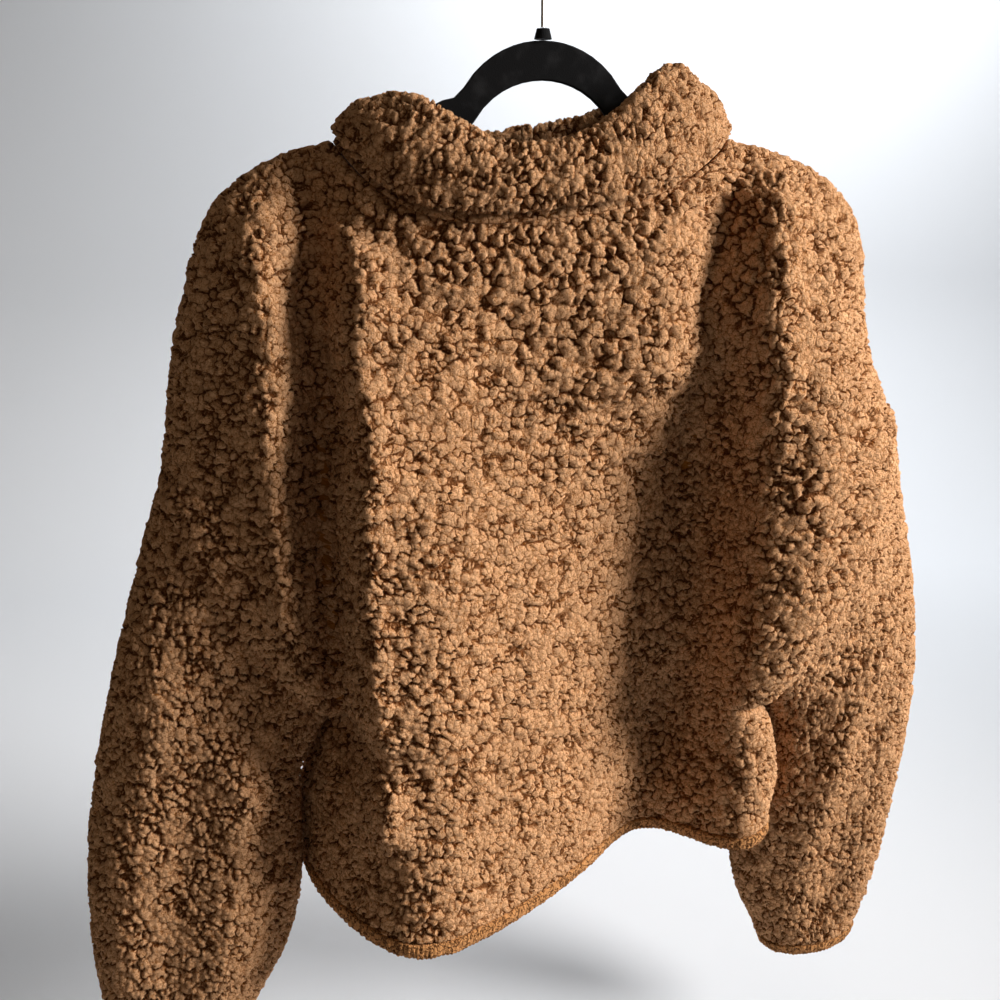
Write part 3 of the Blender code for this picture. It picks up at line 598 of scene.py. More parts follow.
class Neck:
    """The neck seam and what stands on it: the band and the turned-over collar."""

    def __init__(self, cut: Cut) -> None:
        rows = []
        for name, flip in (("front_left", True), ("back", False), ("front_right", False)):
            shell = cut.shells[name]
            row = np.stack([shell.grid[0], shell.grid[0] - shell.normals[0] * WALL, shell.grid[4]])
            row = row[:, ::-1] if flip else row
            rows.append(row if name == "front_left" else row[:, 1:])
        self.outer, self.inner, self.below = np.concatenate(rows, axis=1)
        base = (self.outer + self.inner) / 2.0
        x, y = base[:, 0], base[:, 1]
        reach_x = np.where(x > 0, x.max(), -x.min())
        reach_y = np.where(y > 0, y.max(), -y.min())
        side_part = np.abs(x) / reach_x
        (side_height, side_lean), (middle_height, middle_lean) = (
            [np.where(at > 0, getattr(COLLAR[one], column), getattr(COLLAR[other], column))
             for column in ("height", "lean")]
            for at, one, other in ((x, "left", "right"), (y, "back", "front")))
        height = middle_height + (side_height - middle_height) * side_part**2
        diagonal = np.where(y > 0, COLLAR_DIAGONAL, COLLAR_DIAGONAL_FRONT)
        height = height + diagonal * DIAGONAL_SCALE * side_part**3 * (1.0 - side_part)
        climb = np.stack([-x / reach_x * side_lean, -y / reach_y * middle_lean, height], -1)
        self.height = np.linalg.norm(climb, axis=-1)
        self.up = unit(climb)
        out = unit(np.cross(np.gradient(base, axis=0), self.up))
        self.out = out * np.sign(np.sum(out * base * np.array([1.0, 1.0, 0.0]), axis=-1).mean())
        self.base = base

    def band(self) -> Shell:
        """The narrow strip between the neck seam and the collar."""
        part = np.linspace(0.0, 1.0, 7)[:, None, None]
        high = self.base + self.up * BAND_HEIGHT + self.out * WALL / 2.0
        grid = self.outer[None] * (1.0 - part) + high[None] * part
        return Shell(grid, np.broadcast_to(self.out, grid.shape).copy())

    def collar(self) -> Shell:
        """The stand, the fold and the fall as one bent sheet, from the foot to the fall's edge."""
        foot = self.base + self.up * BAND_HEIGHT
        bend = (WALL + COLLAR_CORE) / 2.0
        straight = (self.height - BAND_HEIGHT - bend)[:, None]
        line = [foot + self.up * straight * part for part in np.linspace(0.0, 1.0, 23)]
        top = foot + self.up * straight + self.out * bend
        for turn in np.linspace(math.pi, 0.0, 10)[1:-1]:
            line.append(top + self.out * bend * math.cos(turn) + self.up * bend * math.sin(turn))
        touch = WALL + COLLAR_LOOSE
        for part in np.linspace(0.0, 1.0, 26):
            puff = COLLAR_PUFF * math.sin(math.pi * part)
            away = 2.0 * bend + (touch - 2.0 * bend) * part**2 + puff
            line.append(foot + self.up * straight * (1.0 - part) + self.out * away)
        stack = np.stack(line)
        across = unit(np.cross(np.gradient(stack, axis=0), np.gradient(stack, axis=1)))
        across = across * np.sign(np.sum(across[-1] * self.out, axis=-1).mean())
        grid, down = stack + across * WALL / 2.0, unit(stack[-1] - stack[-3])
        for turn in np.radians((25.0, 50.0, 75.0, 100.0)):
            normal = across[len(stack) - 1] * math.cos(turn) + down * math.sin(turn)
            grid = np.concatenate([grid, (stack[-1] + normal * WALL / 2.0)[None]])
            across = np.concatenate([across, normal[None]])
        return Shell(grid, across)


# ---------------------------------------------------------------- pile
class FieldSampler:
    """Works out a pattern's values at points, with the same nodes that the materials use."""

    def sample(self, places: Array,
               make: Callable[["Graph", "Value"], dict[str, "Value"]]) -> dict[str, Array]:
        """Values of a pattern at places.

        Args:
            places: Points in the pattern's own space, any shape that ends in 3.
            make: Builds named values from a graph and a place in it.

        Returns:
            Each named value, in the places' shape.
        """
        tree = bpy.data.node_groups.new("pattern_field", "GeometryNodeTree")
        for way in ("INPUT", "OUTPUT"):
            tree.interface.new_socket("Geometry", in_out=way, socket_type="NodeSocketGeometry")
        graph = Graph(tree)
        flow = graph.node("NodeGroupInput", {}).outputs[0]
        values = make(graph, graph.value("GeometryNodeInputPosition", {}))
        for name, value in values.items():
            store = graph.node("GeometryNodeStoreNamedAttribute", {"Name": name, "Value": value},
                               data_type="FLOAT", domain="POINT")
            tree.links.new(flow, store.inputs["Geometry"])
            flow = store.outputs[0]
        tree.links.new(flow, graph.node("NodeGroupOutput", {}).inputs[0])
        mesh = bpy.data.meshes.new("pattern_points")
        mesh.from_pydata(places.reshape(-1, 3).tolist(), [], [])
        item = add_object("pattern_points", mesh)
        item.modifiers.new("pattern", "NODES").node_group = tree
        found = item.evaluated_get(bpy.context.evaluated_depsgraph_get()).data.attributes
        out = {}
        for name in values:
            flat = np.empty(len(mesh.vertices), np.float32)
            found[name].data.foreach_get("value", flat)
            out[name] = flat.reshape(places.shape[:-1]).astype(float)
        bpy.data.objects.remove(item)
        bpy.data.meshes.remove(mesh)
        bpy.data.node_groups.remove(tree)
        return out


def cobbles(graph: "Graph", place: "Value", crack: float, lobes: float) -> dict[str, "Value"]:
    """The pile's pattern in a space where a clump is about 1 wide: clumps made of lobes.

    Args:
        graph: The node tree to build in.
        place: The place in the pattern's space.
        crack: How wide the cracks between clumps are, in lobes.
        lobes: How deep the creases between a clump's own lobes are, against a crack's 1.

    Returns:
        The height, 0 in a crack and 1 on a clump, and the clump's own tone, 0 to 1.
    """
    shaken = graph.noise_shift(graph.noise_shift(place, 0.50, 0.22), 0.13, 0.10)
    near, here, _ = graph.cells(shaken, LOBE)
    after, there, _ = graph.cells(shaken, LOBE, "F2")
    _, home, tone = graph.cells(here, 1.0, "F1", CLUMP_SPREAD)
    _, other, _ = graph.cells(there, 1.0, "F1", CLUMP_SPREAD)
    apart = graph.distance(home, other).step(0.001, 0.02)
    strength = graph.noise(place, 1.5, 1.0).step(0.34, 0.56) * 0.78 + 0.22
    wide = (1.0 - (after - near).step(0.0, crack)) * apart * strength
    narrow = (1.0 - (after - near).step(0.0, 0.42)) * lobes
    dome = near.step(0.25, 1.05) * 0.24
    return {"height": 1.0 - wide - narrow * (1.0 - wide) - dome * (1.0 - wide), "tone": tone}


@dataclass(frozen=True)
class Rims:
    """Rounding radii at a panel's first and last row and first and last column."""

    first_row: float = .0010
    last_row: float = .0016
    first_column: float = .0010
    last_column: float = .0010


def rim_sink(shell: Shell, rims: Rims) -> tuple[Array, Array]:
    """How far a panel dips at its edges, and how freely its nubs stand there, 0 to 1."""
    down = travel(shell.grid, 0)
    ways = [(down, rims.first_row), (down[-1:] - down, rims.last_row)]
    if not shell.closed:
        across = travel(shell.grid, 1)
        ways += [(across, rims.first_column), (across[:, -1:] - across, rims.last_column)]
    sink = np.zeros(shell.grid.shape[:2])
    free = np.ones(shell.grid.shape[:2])
    for distance, radius in ways:
        short = np.clip(radius - distance, 0.0, radius)
        sink = np.maximum(sink, radius - np.sqrt(radius**2 - short**2))
        free = np.minimum(free, smoothstep(distance / SEAM_FADE))
    return sink, free


class MeshMaker:
    """Turns grids of points into objects."""

    @staticmethod
    def add(name: str, points: Array, faces: list[list[int]],
            values: dict[str, Array]) -> bpy.types.Object:
        """An object with smooth faces and values kept on its points, linked into the scene."""
        mesh = bpy.data.meshes.new(name)
        mesh.from_pydata(points.tolist(), [], faces)
        for key, value in values.items():
            kind, field = ("FLOAT_VECTOR", "vector") if value.ndim == 2 else ("FLOAT", "value")
            data = mesh.attributes.new(key, kind, "POINT").data
            data.foreach_set(field, value.astype(np.float32).ravel())
        mesh.polygons.foreach_set("use_smooth", np.ones(len(mesh.polygons), bool))
        mesh.update()
        return add_object(name, mesh)

    @classmethod
    def panel(cls, name: str, outer: Array, inner: Array, shell: Shell,
              place: Array) -> bpy.types.Object:
        """A closed sheet: a fine outer face, a coarse inner one and the rim between them.

        Args:
            name: The object's name.
            outer: The pile's outer grid.
            inner: The inner grid, as fine as the outer one; only some of it is used.
            shell: The smooth surface that both were made from.
            place: Where each point lies in the pile's pattern.

        Returns:
            The object, linked into the scene.
        """
        rows, columns = outer.shape[:2]
        closed = shell.closed
        span = columns if closed else columns - 1
        keep_r, keep_c = (
            np.unique(np.round(np.linspace(0, last, last // INNER_STEP + 2)).astype(int))
            for last in (rows - 1, span))
        few = inner[keep_r][:, keep_c % columns]
        few_place = place[keep_r][:, keep_c % columns]
        if closed:
            few, few_place = few[:, :-1], few_place[:, :-1]
        index = np.arange(rows * columns).reshape(rows, columns)
        low = rows * columns + np.arange(few.shape[0] * few.shape[1]).reshape(few.shape[:2])
        if closed:
            index = np.concatenate([index, index[:, :1]], axis=1)
            low = np.concatenate([low, low[:, :1]], axis=1)
        faces = cls._quads(index) + cls._quads(low[:, ::-1])
        faces += cls._rim(index[0], low[0], keep_c, True) + cls._rim(index[-1], low[-1], keep_c, False)
        if not closed:
            faces += cls._rim(index[:, 0], low[:, 0], keep_r, False)
            faces += cls._rim(index[:, -1], low[:, -1], keep_r, True)
        faces = cls._face_out(faces, outer, shell.normals)
        points = np.concatenate([outer.reshape(-1, 3), few.reshape(-1, 3)])
        inside = np.zeros(len(points) - rows * columns)
        values = {
            "pile_place": np.concatenate([place.reshape(-1, 3), few_place.reshape(-1, 3)]),
            "pile_face": np.concatenate([np.ones(rows * columns), inside]),
        }
        return cls.add(name, points, faces, values)

    @staticmethod
    def _quads(index: Array) -> list[list[int]]:
        """Quads over a grid of vertex numbers."""
        corners = index[:-1, :-1], index[:-1, 1:], index[1:, 1:], index[1:, :-1]
        return np.stack(corners, -1).reshape(-1, 4).tolist()

    @staticmethod
    def _rim(edge: Array, inner: Array, kept: Array, turned: bool) -> list[list[int]]:
        """Faces from the fine edge of the outer face to the coarse one of the inner face."""
        faces = []
        for a, b, c, d in zip(kept, kept[1:], inner.tolist(), inner[1:].tolist()):
            fine = edge[a:b + 1].tolist()
            faces.append(fine[::-1] + [c, d] if turned else fine + [d, c])
        return faces

    @staticmethod
    def _face_out(faces: list[list[int]], grid: Array, outward: Array) -> list[list[int]]:
        """The faces, turned over if their grid's corners look inward."""
        start = grid[:-1, :-1]
        corner = np.cross(grid[:-1, 1:] - start, grid[1:, :-1] - start)
        if np.sum(corner * outward[:-1, :-1]) < 0.0:
            return [face[::-1] for face in faces]
        return faces

    @classmethod
    def roll(cls, name: str, sections: Array, closed: bool) -> bpy.types.Object:
        """A bound edge: closed sections, rows round the section and columns along the edge."""
        rows, columns = sections.shape[:2]
        index = np.arange(rows * columns).reshape(rows, columns)
        index = np.concatenate([index, index[:1]], axis=0)
        if closed:
            index = np.concatenate([index, index[:, :1]], axis=1)
        faces = cls._quads(index)
        if not closed:
            faces.append(index[:-1, 0].tolist())
            faces.append(index[:-1, -1][::-1].tolist())
        faces = cls._face_out(faces, sections, sections - sections.mean(axis=0, keepdims=True))
        return cls.add(name, sections.reshape(-1, 3), faces, {})


@dataclass(frozen=True)
class ClothPiece:
    """One sewn piece: its shell, its pile and the flat size of its cut."""

    name: str
    pile: Pile
    rims: Rims
    flat: tuple[float, float]
    lift: float = PILE_LIFT
    is_strip: bool = False

    def area(self, shell: Shell) -> float:
        """The flat area of the cut, from the smooth surface."""
        grid = shell.grid
        if shell.closed:
            grid = np.concatenate([grid, grid[:, :1]], axis=1)
        across = grid[:-1, 1:] - grid[:-1, :-1]
        down = grid[1:, :-1] - grid[:-1, :-1]
        return float(np.linalg.norm(np.cross(across, down), axis=-1).sum())


SEAM = Rims()
PLACKET = Rims(last_column=.0030)
CLOTH = (
    ClothPiece("back", Pile(.0108, .0042, 1), SEAM, (.66, .60)),
    ClothPiece("front_left", Pile(.0108, .0042, 2), PLACKET, (.33, .60)),
    ClothPiece("front_right", Pile(.0108, .0042, 3), PLACKET, (.33, .60)),
    ClothPiece("sleeve_left", Pile(.0104, .0040, 4), SEAM, (.57, .51)),
    ClothPiece("sleeve_right", Pile(.0100, .0038, 5), SEAM, (.63, .57)),
    ClothPiece("neck_band", Pile(.0096, .0022, 6), Rims(.0006, .0006), (.69, .013), 0.0, True),
    ClothPiece("collar", Pile(.0092, .0036, 7), Rims(.0010, .0002, .0022, .0022), (.72, .125)),
)


class JacketCloth:
    """Builds every nubbed and bound piece of the jacket."""

    def __init__(self, cut: Cut, neck: Neck, finishes: dict[Finish, bpy.types.Material]) -> None:
        self.cut = cut
        self.neck = neck
        self.finishes = finishes
        self.sampler = FieldSampler()

    def nubbed(self, piece: ClothPiece, shell: Shell) -> bpy.types.Object:
        """One piece with its pile."""
        pile = piece.pile
        place = shell.grid / pile.spacing + pile.seed * PATTERN_STEP
        pattern = self.sampler.sample(
            place, lambda graph, at: cobbles(graph, at, PILE_GROOVE, MESH_LOBES))
        sink, free = rim_sink(shell, piece.rims)
        lumps = wobble(shell.grid, LUMP_SIZE, pile.seed + 3)[..., 0] * LUMP_RISE
        curl = wobble(shell.grid, CURL_SIZE, pile.seed + 5)[..., 0] * CURL_RISE
        rise = piece.lift - pile.depth * (1.0 - pattern["height"]) + lumps + curl
        rise = rise * free - (1.0 - free) * pile.depth * SEAM_SINK - sink
        outer = shell.grid + shell.normals * rise[..., None]
        inner = shell.grid - shell.normals * INNER_DEPTH
        item = MeshMaker.panel(piece.name + "_pile", outer, inner, shell, place)
        area = None if piece.is_strip else piece.area(shell)
        return self._declare(item, piece.name, piece.flat, Finish.SHERPA, area)

    def bound(self, name: str, strip: Shell, flat: tuple[float, float]) -> bpy.types.Object:
        """One bound edge with its whipped ridges."""
        sections = self._edge_sections(strip)
        item = MeshMaker.roll(name + "_edge", sections, strip.closed)
        return self._declare(item, name, flat, Finish.BINDING)

    def _edge_sections(self, strip: Shell) -> Array:
        """Sections of a bound edge, finer along the edge than the panel above it."""
        top, low = strip.grid
        walked = travel(strip.grid[1:], 1, strip.closed)[0]
        count = int(walked[-1] / THREAD_CELL)
        wanted = np.linspace(0.0, walked[-1], count + 1)[:count if strip.closed else None]

        def fine(row: Array) -> Array:
            row = np.concatenate([row, row[:1]]) if strip.closed else row
            return np.stack([np.interp(wanted, walked, row[:, axis]) for axis in range(3)], -1)

        top, low, out = fine(top), fine(low), unit(fine(strip.normals[1]))
        down = unit(low - top)
        length = np.linalg.norm(low - top, axis=-1)[:, None]
        radius = WALL / 2.0
        rows = []
        for part in np.linspace(0.0, 1.0, 8):
            bulge = HEM_SWELL * math.sin(math.pi * (0.12 + 0.70 * part))
            rows.append(top + down * (length - radius) * part + out * bulge)
        for turn in np.linspace(0.0, math.pi, 7)[1:-1]:
            rows.append(low - down * radius + down * radius * math.sin(turn)
                        + out * radius * (math.cos(turn) - 1.0))
        for part in (1.0, 0.66, 0.33, 0.0):
            rows.append(top + down * (length - radius) * part - out * WALL)
        sections = np.stack(rows)
        middle = sections.mean(axis=0, keepdims=True)
        slant = np.linspace(0.0, 1.6, len(rows))[:, None]
        ridge = np.sin(wanted[None, :] * 2.0 * math.pi / THREAD_PITCH + slant) * THREAD_RISE
        ridge = ridge + wobble(sections, 0.008, 3)[..., 0] * THREAD_UNEVEN
        body = np.ones(len(rows))
        body[[0, -1]] = 0.2
        return sections + unit(sections - middle) * (ridge * body[:, None])[..., None]

    def _declare(self, item: bpy.types.Object, node: str, flat: tuple[float, float],
                 finish: Finish, area: float | None = None) -> bpy.types.Object:
        """Give a piece its material, hang it under the root, hide the part it stands for and log its
        cut.
        """
        item.data.materials.append(self.finishes[finish])
        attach(item, "root")
        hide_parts(node)
        LOG.info("%s: %d faces, cut %.3f x %.3f m, area %s", item.name, len(item.data.polygons),
                 *flat, area)
        return item

    def build(self) -> list[bpy.types.Object]:
        """Every piece of the jacket."""
        shells = self.cut.shells | {"neck_band": self.neck.band(), "collar": self.neck.collar()}
        made = [self.nubbed(piece, shells[piece.name]) for piece in CLOTH]
        for name, strip in self.cut.strips.items():
            width = float(travel(strip.grid[1:], 1, strip.closed)[0, -1])
            made.append(self.bound(name, strip, (width, BAND_FLAT)))
        return made


# ---------------------------------------------------------------- materials
Operand = Union["Value", float]


class Value:
    """A shader socket that takes part in Python arithmetic."""

    def __init__(self, graph: "Graph", socket: bpy.types.NodeSocket) -> None:
        self.graph = graph
        self.socket = socket

    def _math(self, operation: str, *operands: Operand) -> "Value":
        """A Math node over this value's graph."""
        return self.graph.math(operation, *operands)

    def __add__(self, other: Operand) -> "Value":
        """Sum."""
        return self._math("ADD", self, other)

    __radd__ = __add__

    def __sub__(self, other: Operand) -> "Value":
        """Difference."""
        return self._math("SUBTRACT", self, other)

    def __rsub__(self, other: Operand) -> "Value":
        """Difference the other way round."""
        return self._math("SUBTRACT", other, self)

    def __mul__(self, other: Operand) -> "Value":
        """Product."""
        return self._math("MULTIPLY", self, other)

    __rmul__ = __mul__

    def __truediv__(self, other: Operand) -> "Value":
        """Quotient."""
        return self._math("DIVIDE", self, other)

    def __pow__(self, other: Operand) -> "Value":
        """Power."""
        return self._math("POWER", self, other)

    def step(self, low: float, high: float) -> "Value":
        """A smooth ramp from 0 at low to 1 at high."""
        inputs = {"Value": self, "From Min": low, "From Max": high}
        return self.graph.value("ShaderNodeMapRange", inputs, "Result",
                                interpolation_type="SMOOTHSTEP")


class Graph:
    """A node tree, written as expressions."""

    def __init__(self, tree: bpy.types.NodeTree) -> None:
        self.tree = tree

    def node(self, kind: str, inputs: dict[Union[str, int], Any], **settings: Any) -> bpy.types.Node:
        """Any node, with its inputs linked or set.

        Args:
            kind: The node's type name.
            inputs: Values, sockets or constants by input name or number.
            settings: The node's own properties.

        Returns:
            The node.
        """
        node = self.tree.nodes.new(kind)
        for key, value in settings.items():
            setattr(node, key, value)
        for key, value in inputs.items():
            if isinstance(value, Value):
                self.tree.links.new(value.socket, node.inputs[key])
            else:
                node.inputs[key].default_value = value
        return node

    def value(self, kind: str, inputs: dict[Union[str, int], Any],
              output: Union[str, int] = 0, **settings: Any) -> Value:
        """One output of a new node."""
        return Value(self, self.node(kind, inputs, **settings).outputs[output])

    def math(self, operation: str, *operands: Operand) -> Value:
        """A Math node."""
        return self.value("ShaderNodeMath", dict(enumerate(operands)), operation=operation)

    def noise(self, place: Value, size: float, detail: float = 3.0, roughness: float = 0.55) -> Value:
        """Noise whose features are about a size in metres."""
        inputs = {"Vector": place, "Scale": 1.0 / size, "Detail": detail, "Roughness": roughness}
        return self.value("ShaderNodeTexNoise", inputs, "Fac")

    def noise_shift(self, place: Value, size: float, amount: float) -> Value:
        """Positions shaken by coloured noise."""
        inputs = {"Vector": place, "Scale": 1.0 / size, "Detail": 1.0}
        shift = self.value("ShaderNodeTexNoise", inputs, "Color")
        centred = self.vector("SUBTRACT", shift, (0.5, 0.5, 0.5))
        return self.vector("ADD", place, self.vector("SCALE", centred, amount))

    def vector(self, operation: str, first: Value, second: Union[Value, tuple, float]) -> Value:
        """A Vector Math node; SCALE takes a number as its second operand."""
        slot = "Scale" if operation == "SCALE" else 1
        return self.value("ShaderNodeVectorMath", {0: first, slot: second}, operation=operation)

    def cells(self, place: Value, size: float, feature: str = "F1",
              randomness: float = 1.0) -> tuple[Value, Value, Value]:
        """The distance to the nearest (F1) or next (F2) of scattered points, its place and tone."""
        inputs = {"Vector": place, "Scale": 1.0 / size, "Randomness": randomness}
        node = self.node("ShaderNodeTexVoronoi", inputs, feature=feature)
        distance, position, colour = (
            Value(self, node.outputs[name]) for name in ("Distance", "Position", "Color"))
        return distance, position, self.value("ShaderNodeSeparateXYZ", {0: colour})

    def distance(self, first: Value, second: Value) -> Value:
        """How far apart two places are."""
        return self.value("ShaderNodeVectorMath", {0: first, 1: second}, "Value",
                          operation="DISTANCE")

    def mix(self, factor: Operand, first: Union[Value, tuple], second: Union[Value, tuple]) -> Value:
        """A colour mix."""
        first, second = (c if isinstance(c, Value) else (*c, 1.0) for c in (first, second))
        return self.value("ShaderNodeMix", {0: factor, 6: first, 7: second}, 2, data_type="RGBA")

    def tint(self, colour: Value, amount: Value) -> Value:
        """A colour made lighter or darker by a factor."""
        grey = self.value("ShaderNodeCombineColor", dict.fromkeys(range(3), amount))
        return self.value("ShaderNodeMix", {0: 1.0, 6: colour, 7: grey}, 2,
                          data_type="RGBA", blend_type="MULTIPLY")

    def bump(self, height: Value, distance: float, strength: float = 1.0) -> Value:
        """A bumped normal."""
        inputs = {"Height": height, "Distance": distance, "Strength": strength}
        return self.value("ShaderNodeBump", inputs, "Normal")


class MaterialGraph(Graph):
    """A material's node tree."""

    def __init__(self, name: str) -> None:
        self.material = bpy.data.materials.new(name)
        self.material.use_nodes = True
        super().__init__(self.material.node_tree)
        self.shader = self.tree.nodes["Principled BSDF"]

    def place(self) -> Value:
        """Positions in the object's own frame."""
        return self.value("ShaderNodeTexCoord", {}, "Object")

    def attribute(self, name: str, output: str = "Fac") -> Value:
        """What is kept on the mesh's points, as a number or, with Vector, as a vector."""
        return self.value("ShaderNodeAttribute", {}, output, attribute_name=name)

    def surface(self, constants: dict[str, Any], **varying: Value) -> bpy.types.Material:
        """Set the shader's constants, link what varies and return the material."""
        for key, value in constants.items():
            self.shader.inputs[key].default_value = value
        for key, value in varying.items():
            self.tree.links.new(value.socket, self.shader.inputs[key.replace("_", " ")])
        return self.material


SHERPA_SHEEN = {"Roughness": 1.0, "Sheen Roughness": 0.5, "Sheen Tint": (1.0, .70, .44, 1.0)}


@dataclass(frozen=True)
class SherpaFinish:
    """Caramel curly pile: clumps of matted curls, lighter on top and darker on their sides, partly their
    own colour and partly painted light and shade, with painted shade in the cracks between them.
    """

    # lighter tops: partly the pile's own colour, partly painted light
    top: tuple[float, float, float] = (.845, .488, .262)
    # darker, more saturated sides: partly the pile's own colour, partly painted shade
    side: tuple[float, float, float] = (.480, .166, .024)
    # painted shade: the colour of the cracks between clumps
    painted_crack_shade: tuple[float, float, float] = (.105, .023, .0015)
    ground: tuple[float, float, float] = (.320, .122, .027)

    def make(self) -> bpy.types.Material:
        """The material."""
        g = MaterialGraph("sherpa_pile")
        place = g.attribute("pile_place", "Vector")
        pattern = cobbles(g, place, PILE_CRACK, SHADE_LOBES)
        height, tone = pattern["height"], pattern["tone"]
        shaken = g.noise_shift(place, 0.24, 0.18)
        curl = g.math("ABSOLUTE", g.noise(shaken, 0.22, 1.0) - 0.5).step(0.0, 0.060)
        strand = 1.0 - g.math("ABSOLUTE", g.noise(shaken, 0.075, 1.0) - 0.5) * 5.0
        fuzz = g.noise(place, 0.040, 3.0, 0.8)
        cloud = g.noise(place, 7.0, 2.0)
        fine = curl * 0.38 + strand * 0.30 + fuzz * 0.56
        # Higher places take the top colour and lower ones the side colour: partly the pile's own colour,
        # partly painted light and shade.
        colour = g.mix((fine * 0.80 + height * 0.30).step(0.40, 1.06), self.side, self.top)
        # The cracks and the hollows between curls take the painted crack shade.
        colour = g.mix((height * 0.72 + fine * 0.44).step(0.20, 0.90), self.painted_crack_shade, colour)
        colour = g.tint(colour, 0.90 + tone * 0.12 + (cloud - 0.5) * 0.24)
        outside = g.attribute("pile_face")
        colour = g.mix(outside, g.mix(fuzz, self.ground, self.side), colour)
        bumps = height * 0.85 + curl * 0.24 + strand * 0.16 + fuzz * 0.42
        return g.surface(
            {**SHERPA_SHEEN, "Specular IOR Level": 0.03, "Sheen Weight": 0.05},
            Base_Color=colour, Normal=g.bump(bumps, 0.0022, 1.0))


@dataclass(frozen=True)
class BindingFinish:
    """The overlocked edge in the pile's own colour, with painted shade in the gaps between its curls."""

    thread: tuple[float, float, float] = (.640, .300, .110)
    # painted shade: the colour of the gaps between the curls
    painted_gap_shade: tuple[float, float, float] = (.110, .034, .006)

    def make(self) -> bpy.types.Material:
        """The material."""
        g = MaterialGraph("bound_edge")
        place = g.place()
        fuzz = g.noise(place, 0.0014, 3.0, 0.65)
        strand = g.noise(place, 0.0045, 2.0)
        curl = g.math("ABSOLUTE", strand - 0.5).step(0.0, 0.07)
        # The gaps between the curls take the painted gap shade.
        colour = g.mix((fuzz * 0.7 + curl * 0.42).step(0.28, 0.90), self.painted_gap_shade, self.thread)
        return g.surface(
            {**SHERPA_SHEEN, "Specular IOR Level": 0.12, "Sheen Weight": 0.08},
            Base_Color=colour, Normal=g.bump(fuzz + curl * 0.6, 0.0020, 1.0))


@dataclass(frozen=True)
class FlockFinish:
    """Black velvet flock."""

    colour: tuple[float, float, float] = (.0055, .0055, .0060)
    worn: tuple[float, float, float] = (.016, .016, .017)

    def make(self) -> bpy.types.Material:
        """The material."""
        g = MaterialGraph("hanger_flock")
        place = g.place()
        fibre = g.noise(place, 0.0006, 2.0)
        patch = g.noise(place, 0.014, 2.0)
        colour = g.mix(patch.step(0.45, 0.75), self.colour, self.worn)
        return g.surface(
            {"Roughness": 0.95, "Specular IOR Level": 0.15, "Sheen Weight": 0.18,
             "Sheen Roughness": 0.35, "Sheen Tint": (.7, .7, .75, 1.0)},
            Base_Color=colour, Normal=g.bump(fibre, 0.0004, 0.6))


@dataclass(frozen=True)
class WireFinish:
    """Satin plated steel wire."""

    colour: tuple[float, float, float] = (.62, .62, .63)

    def make(self) -> bpy.types.Material:
        """The material."""
        g = MaterialGraph("hook_wire")
        drawn = g.noise(g.place(), 0.0030, 3.0)
        colour = g.mix(drawn, self.colour, tuple(c * 0.85 for c in self.colour))
        return g.surface({"Metallic": 1.0}, Base_Color=colour, Roughness=0.22 + drawn * 0.16)


@dataclass(frozen=True)
class StageFinish:
    """Plain pale paint."""

    colour: tuple[float, float, float] = (.72, .74, .77)
    cloud: tuple[float, float, float] = (.69, .71, .74)

    def make(self) -> bpy.types.Material:
        """The material."""
        g = MaterialGraph("stage_paint")
        grain = g.noise(g.place(), 0.05, 2.0)
        colour = g.mix(grain * 0.06, self.colour, self.cloud)
        return g.surface({"Roughness": 0.9}, Base_Color=colour)


# ---------------------------------------------------------------- stage, light and camera
@dataclass(frozen=True)
class Lamp:
    """A soft area light aimed at the jacket."""

    name: str
    place: tuple[float, float, float]
    size: float
    power: float
    colour: tuple[float, float, float] = (1.0, 1.0, 1.0)
    target: tuple[float, float, float] = (0.0, 0.0, -.50)
    spread: float = 180.0


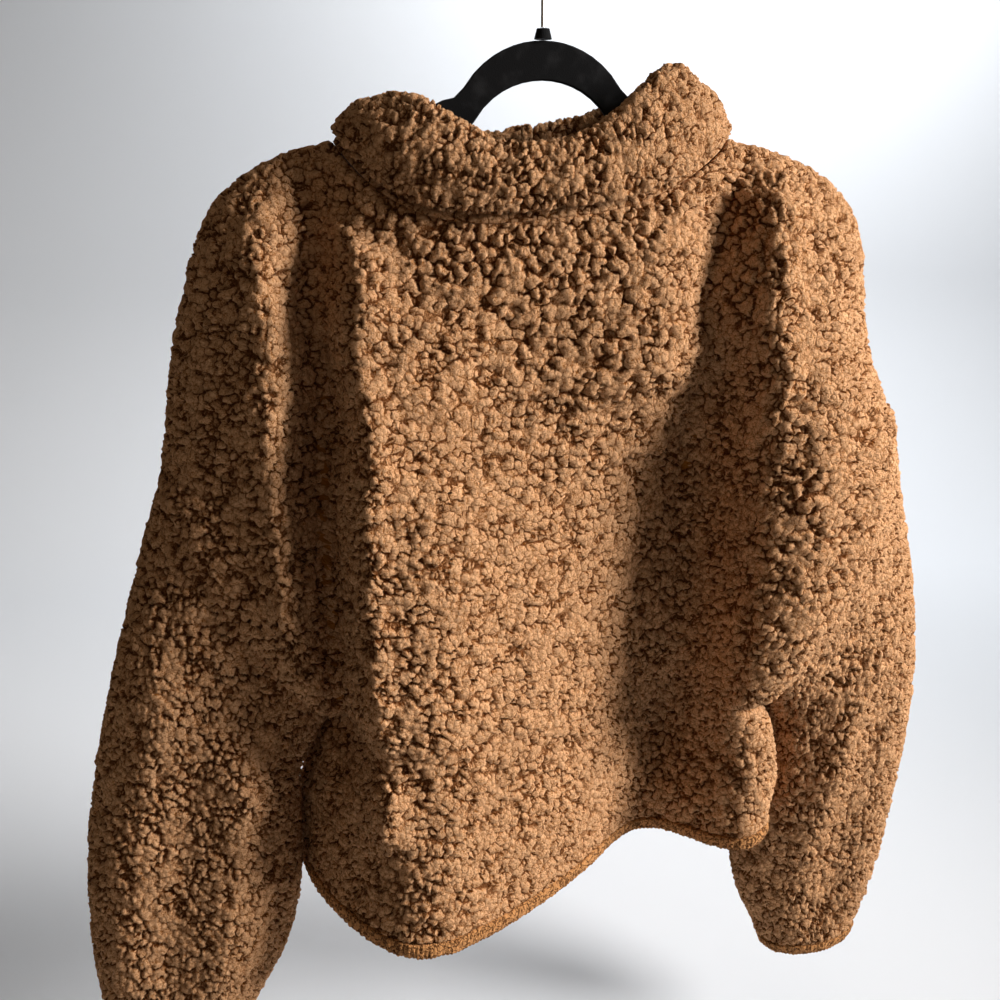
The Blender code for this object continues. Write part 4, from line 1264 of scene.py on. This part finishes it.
@dataclass(frozen=True)
class Studio:
    """The floor, the backdrop, the lights and the camera."""

    floor_z: float = -1.05
    wall_y: float = -1.90
    camera_place: tuple[float, float, float] = (.108, .745, -.190)
    pitch: float = 18.0
    yaw: float = 6.0
    lens: float = 36.0
    world_colour: tuple[float, float, float, float] = (1.0, .82, .62, 1.0)
    world_strength: float = 0.070
    backdrop_colour: tuple[float, float, float, float] = (.66, .67, .69, 1.0)
    sweep_radius: float = 0.60
    sweep_reach: float = 9.0
    sweep_top: float = 5.0
    lamps: tuple[Lamp, ...] = (
        Lamp("key", (-2.07, .76, .46), 0.95, 16.0, (1.0, .975, .95), (0.0, .04, -.48), 62.0),
        Lamp("fill", (1.2, 1.9, .2), 2.2, 1.7, (1.0, .76, .50)),
        Lamp("top", (-.3, .7, 1.5), 1.4, 2.4, (1.0, .90, .80)),
        Lamp("backdrop", (-.80, -.70, 1.60), 1.0, 42.0, (.96, .98, 1.0), (-.75, -1.90, .10), 120.0),
    )

    def build(self) -> None:
        """Everything that isn't part of the object."""
        self._sweep()
        for lamp in self.lamps:
            self._light(lamp)
        world = bpy.data.worlds.new("studio")
        scene = bpy.context.scene
        scene.world = world
        scene.view_settings.view_transform = "Standard"
        world.use_nodes = True
        self._sky(world.node_tree)
        self._camera()

    def _sky(self, tree: bpy.types.NodeTree) -> None:
        """Dim warm light from all round, behind a plain pale backdrop."""
        graph = Graph(tree)
        light = tree.nodes["Background"]
        light.inputs["Color"].default_value = self.world_colour
        light.inputs["Strength"].default_value = self.world_strength
        pale = graph.value("ShaderNodeBackground", {"Color": self.backdrop_colour, "Strength": 1.0})
        seen = graph.value("ShaderNodeLightPath", {}, "Is Camera Ray")
        both = graph.value("ShaderNodeMixShader", {0: seen, 1: Value(graph, light.outputs[0]), 2: pale})
        tree.links.new(both.socket, tree.nodes["World Output"].inputs["Surface"])

    def _sweep(self) -> None:
        """The floor that curves up into a backdrop."""
        reach, radius = self.sweep_reach, self.sweep_radius
        profile = [(reach, self.floor_z)]
        for turn in np.linspace(0.0, math.pi / 2.0, 13):
            profile.append((self.wall_y + radius * (1.0 - math.sin(turn)),
                            self.floor_z + radius * (1.0 - math.cos(turn))))
        profile.append((self.wall_y, self.sweep_top))
        points = [(x, y, z) for y, z in profile for x in (-reach, reach)]
        faces = [[2 * k, 2 * k + 1, 2 * k + 3, 2 * k + 2] for k in range(len(profile) - 1)]
        item = MeshMaker.add("sweep", np.array(points), faces, {})
        item.data.materials.append(StageFinish().make())

    def _light(self, lamp: Lamp) -> None:
        """One area light."""
        data = bpy.data.lights.new(lamp.name, "AREA")
        data.shape = "DISK"
        data.size = lamp.size
        data.energy = lamp.power
        data.color = lamp.colour
        data.spread = math.radians(lamp.spread)
        item = add_object(lamp.name, data)
        item.location = lamp.place
        item.visible_camera = False
        aim = Vector(lamp.target) - Vector(lamp.place)
        item.rotation_euler = aim.to_track_quat("-Z", "Y").to_euler()

    def _camera(self) -> None:
        """The photograph's camera."""
        pitch, yaw = math.radians(self.pitch), math.radians(self.yaw)
        forward = Vector((-math.sin(yaw) * math.cos(pitch), -math.cos(yaw) * math.cos(pitch),
                          -math.sin(pitch)))
        right = Vector((-math.cos(yaw), math.sin(yaw), 0.0))
        up = right.cross(forward)
        data = bpy.data.cameras.new("camera")
        data.lens = self.lens
        data.sensor_width = 36.0
        data.clip_start = 0.02
        item = add_object("camera", data)
        turn = Matrix((right, up, -forward)).transposed()
        item.matrix_world = Matrix.Translation(self.camera_place) @ turn.to_4x4()
        bpy.context.scene.camera = item


def dress_hanger(nodes: dict[str, bpy.types.Object], finishes: dict[Finish, bpy.types.Material]) -> None:
    """Give the hanger's own solids their finishes."""
    for name, finish in (("hanger", Finish.FLOCK), ("hanger_boss", Finish.FLOCK),
                         ("hanger_hook", Finish.WIRE)):
        mesh = nodes[name].data
        mesh.materials.clear()
        mesh.materials.append(finishes[finish])
        LOG.info("%s: finish %s", name, finish.value)


def main() -> None:
    """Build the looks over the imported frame."""
    logging.basicConfig(level=logging.INFO, format="%(asctime)s %(name)s %(message)s")
    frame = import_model()
    finishes = {
        Finish.SHERPA: SherpaFinish().make(),
        Finish.BINDING: BindingFinish().make(),
        Finish.FLOCK: FlockFinish().make(),
        Finish.WIRE: WireFinish().make(),
    }
    cut = Cut()
    JacketCloth(cut, Neck(cut), finishes).build()
    dress_hanger(frame["nodes"], finishes)
    Studio().build()


if __name__ == "__main__":
    main()
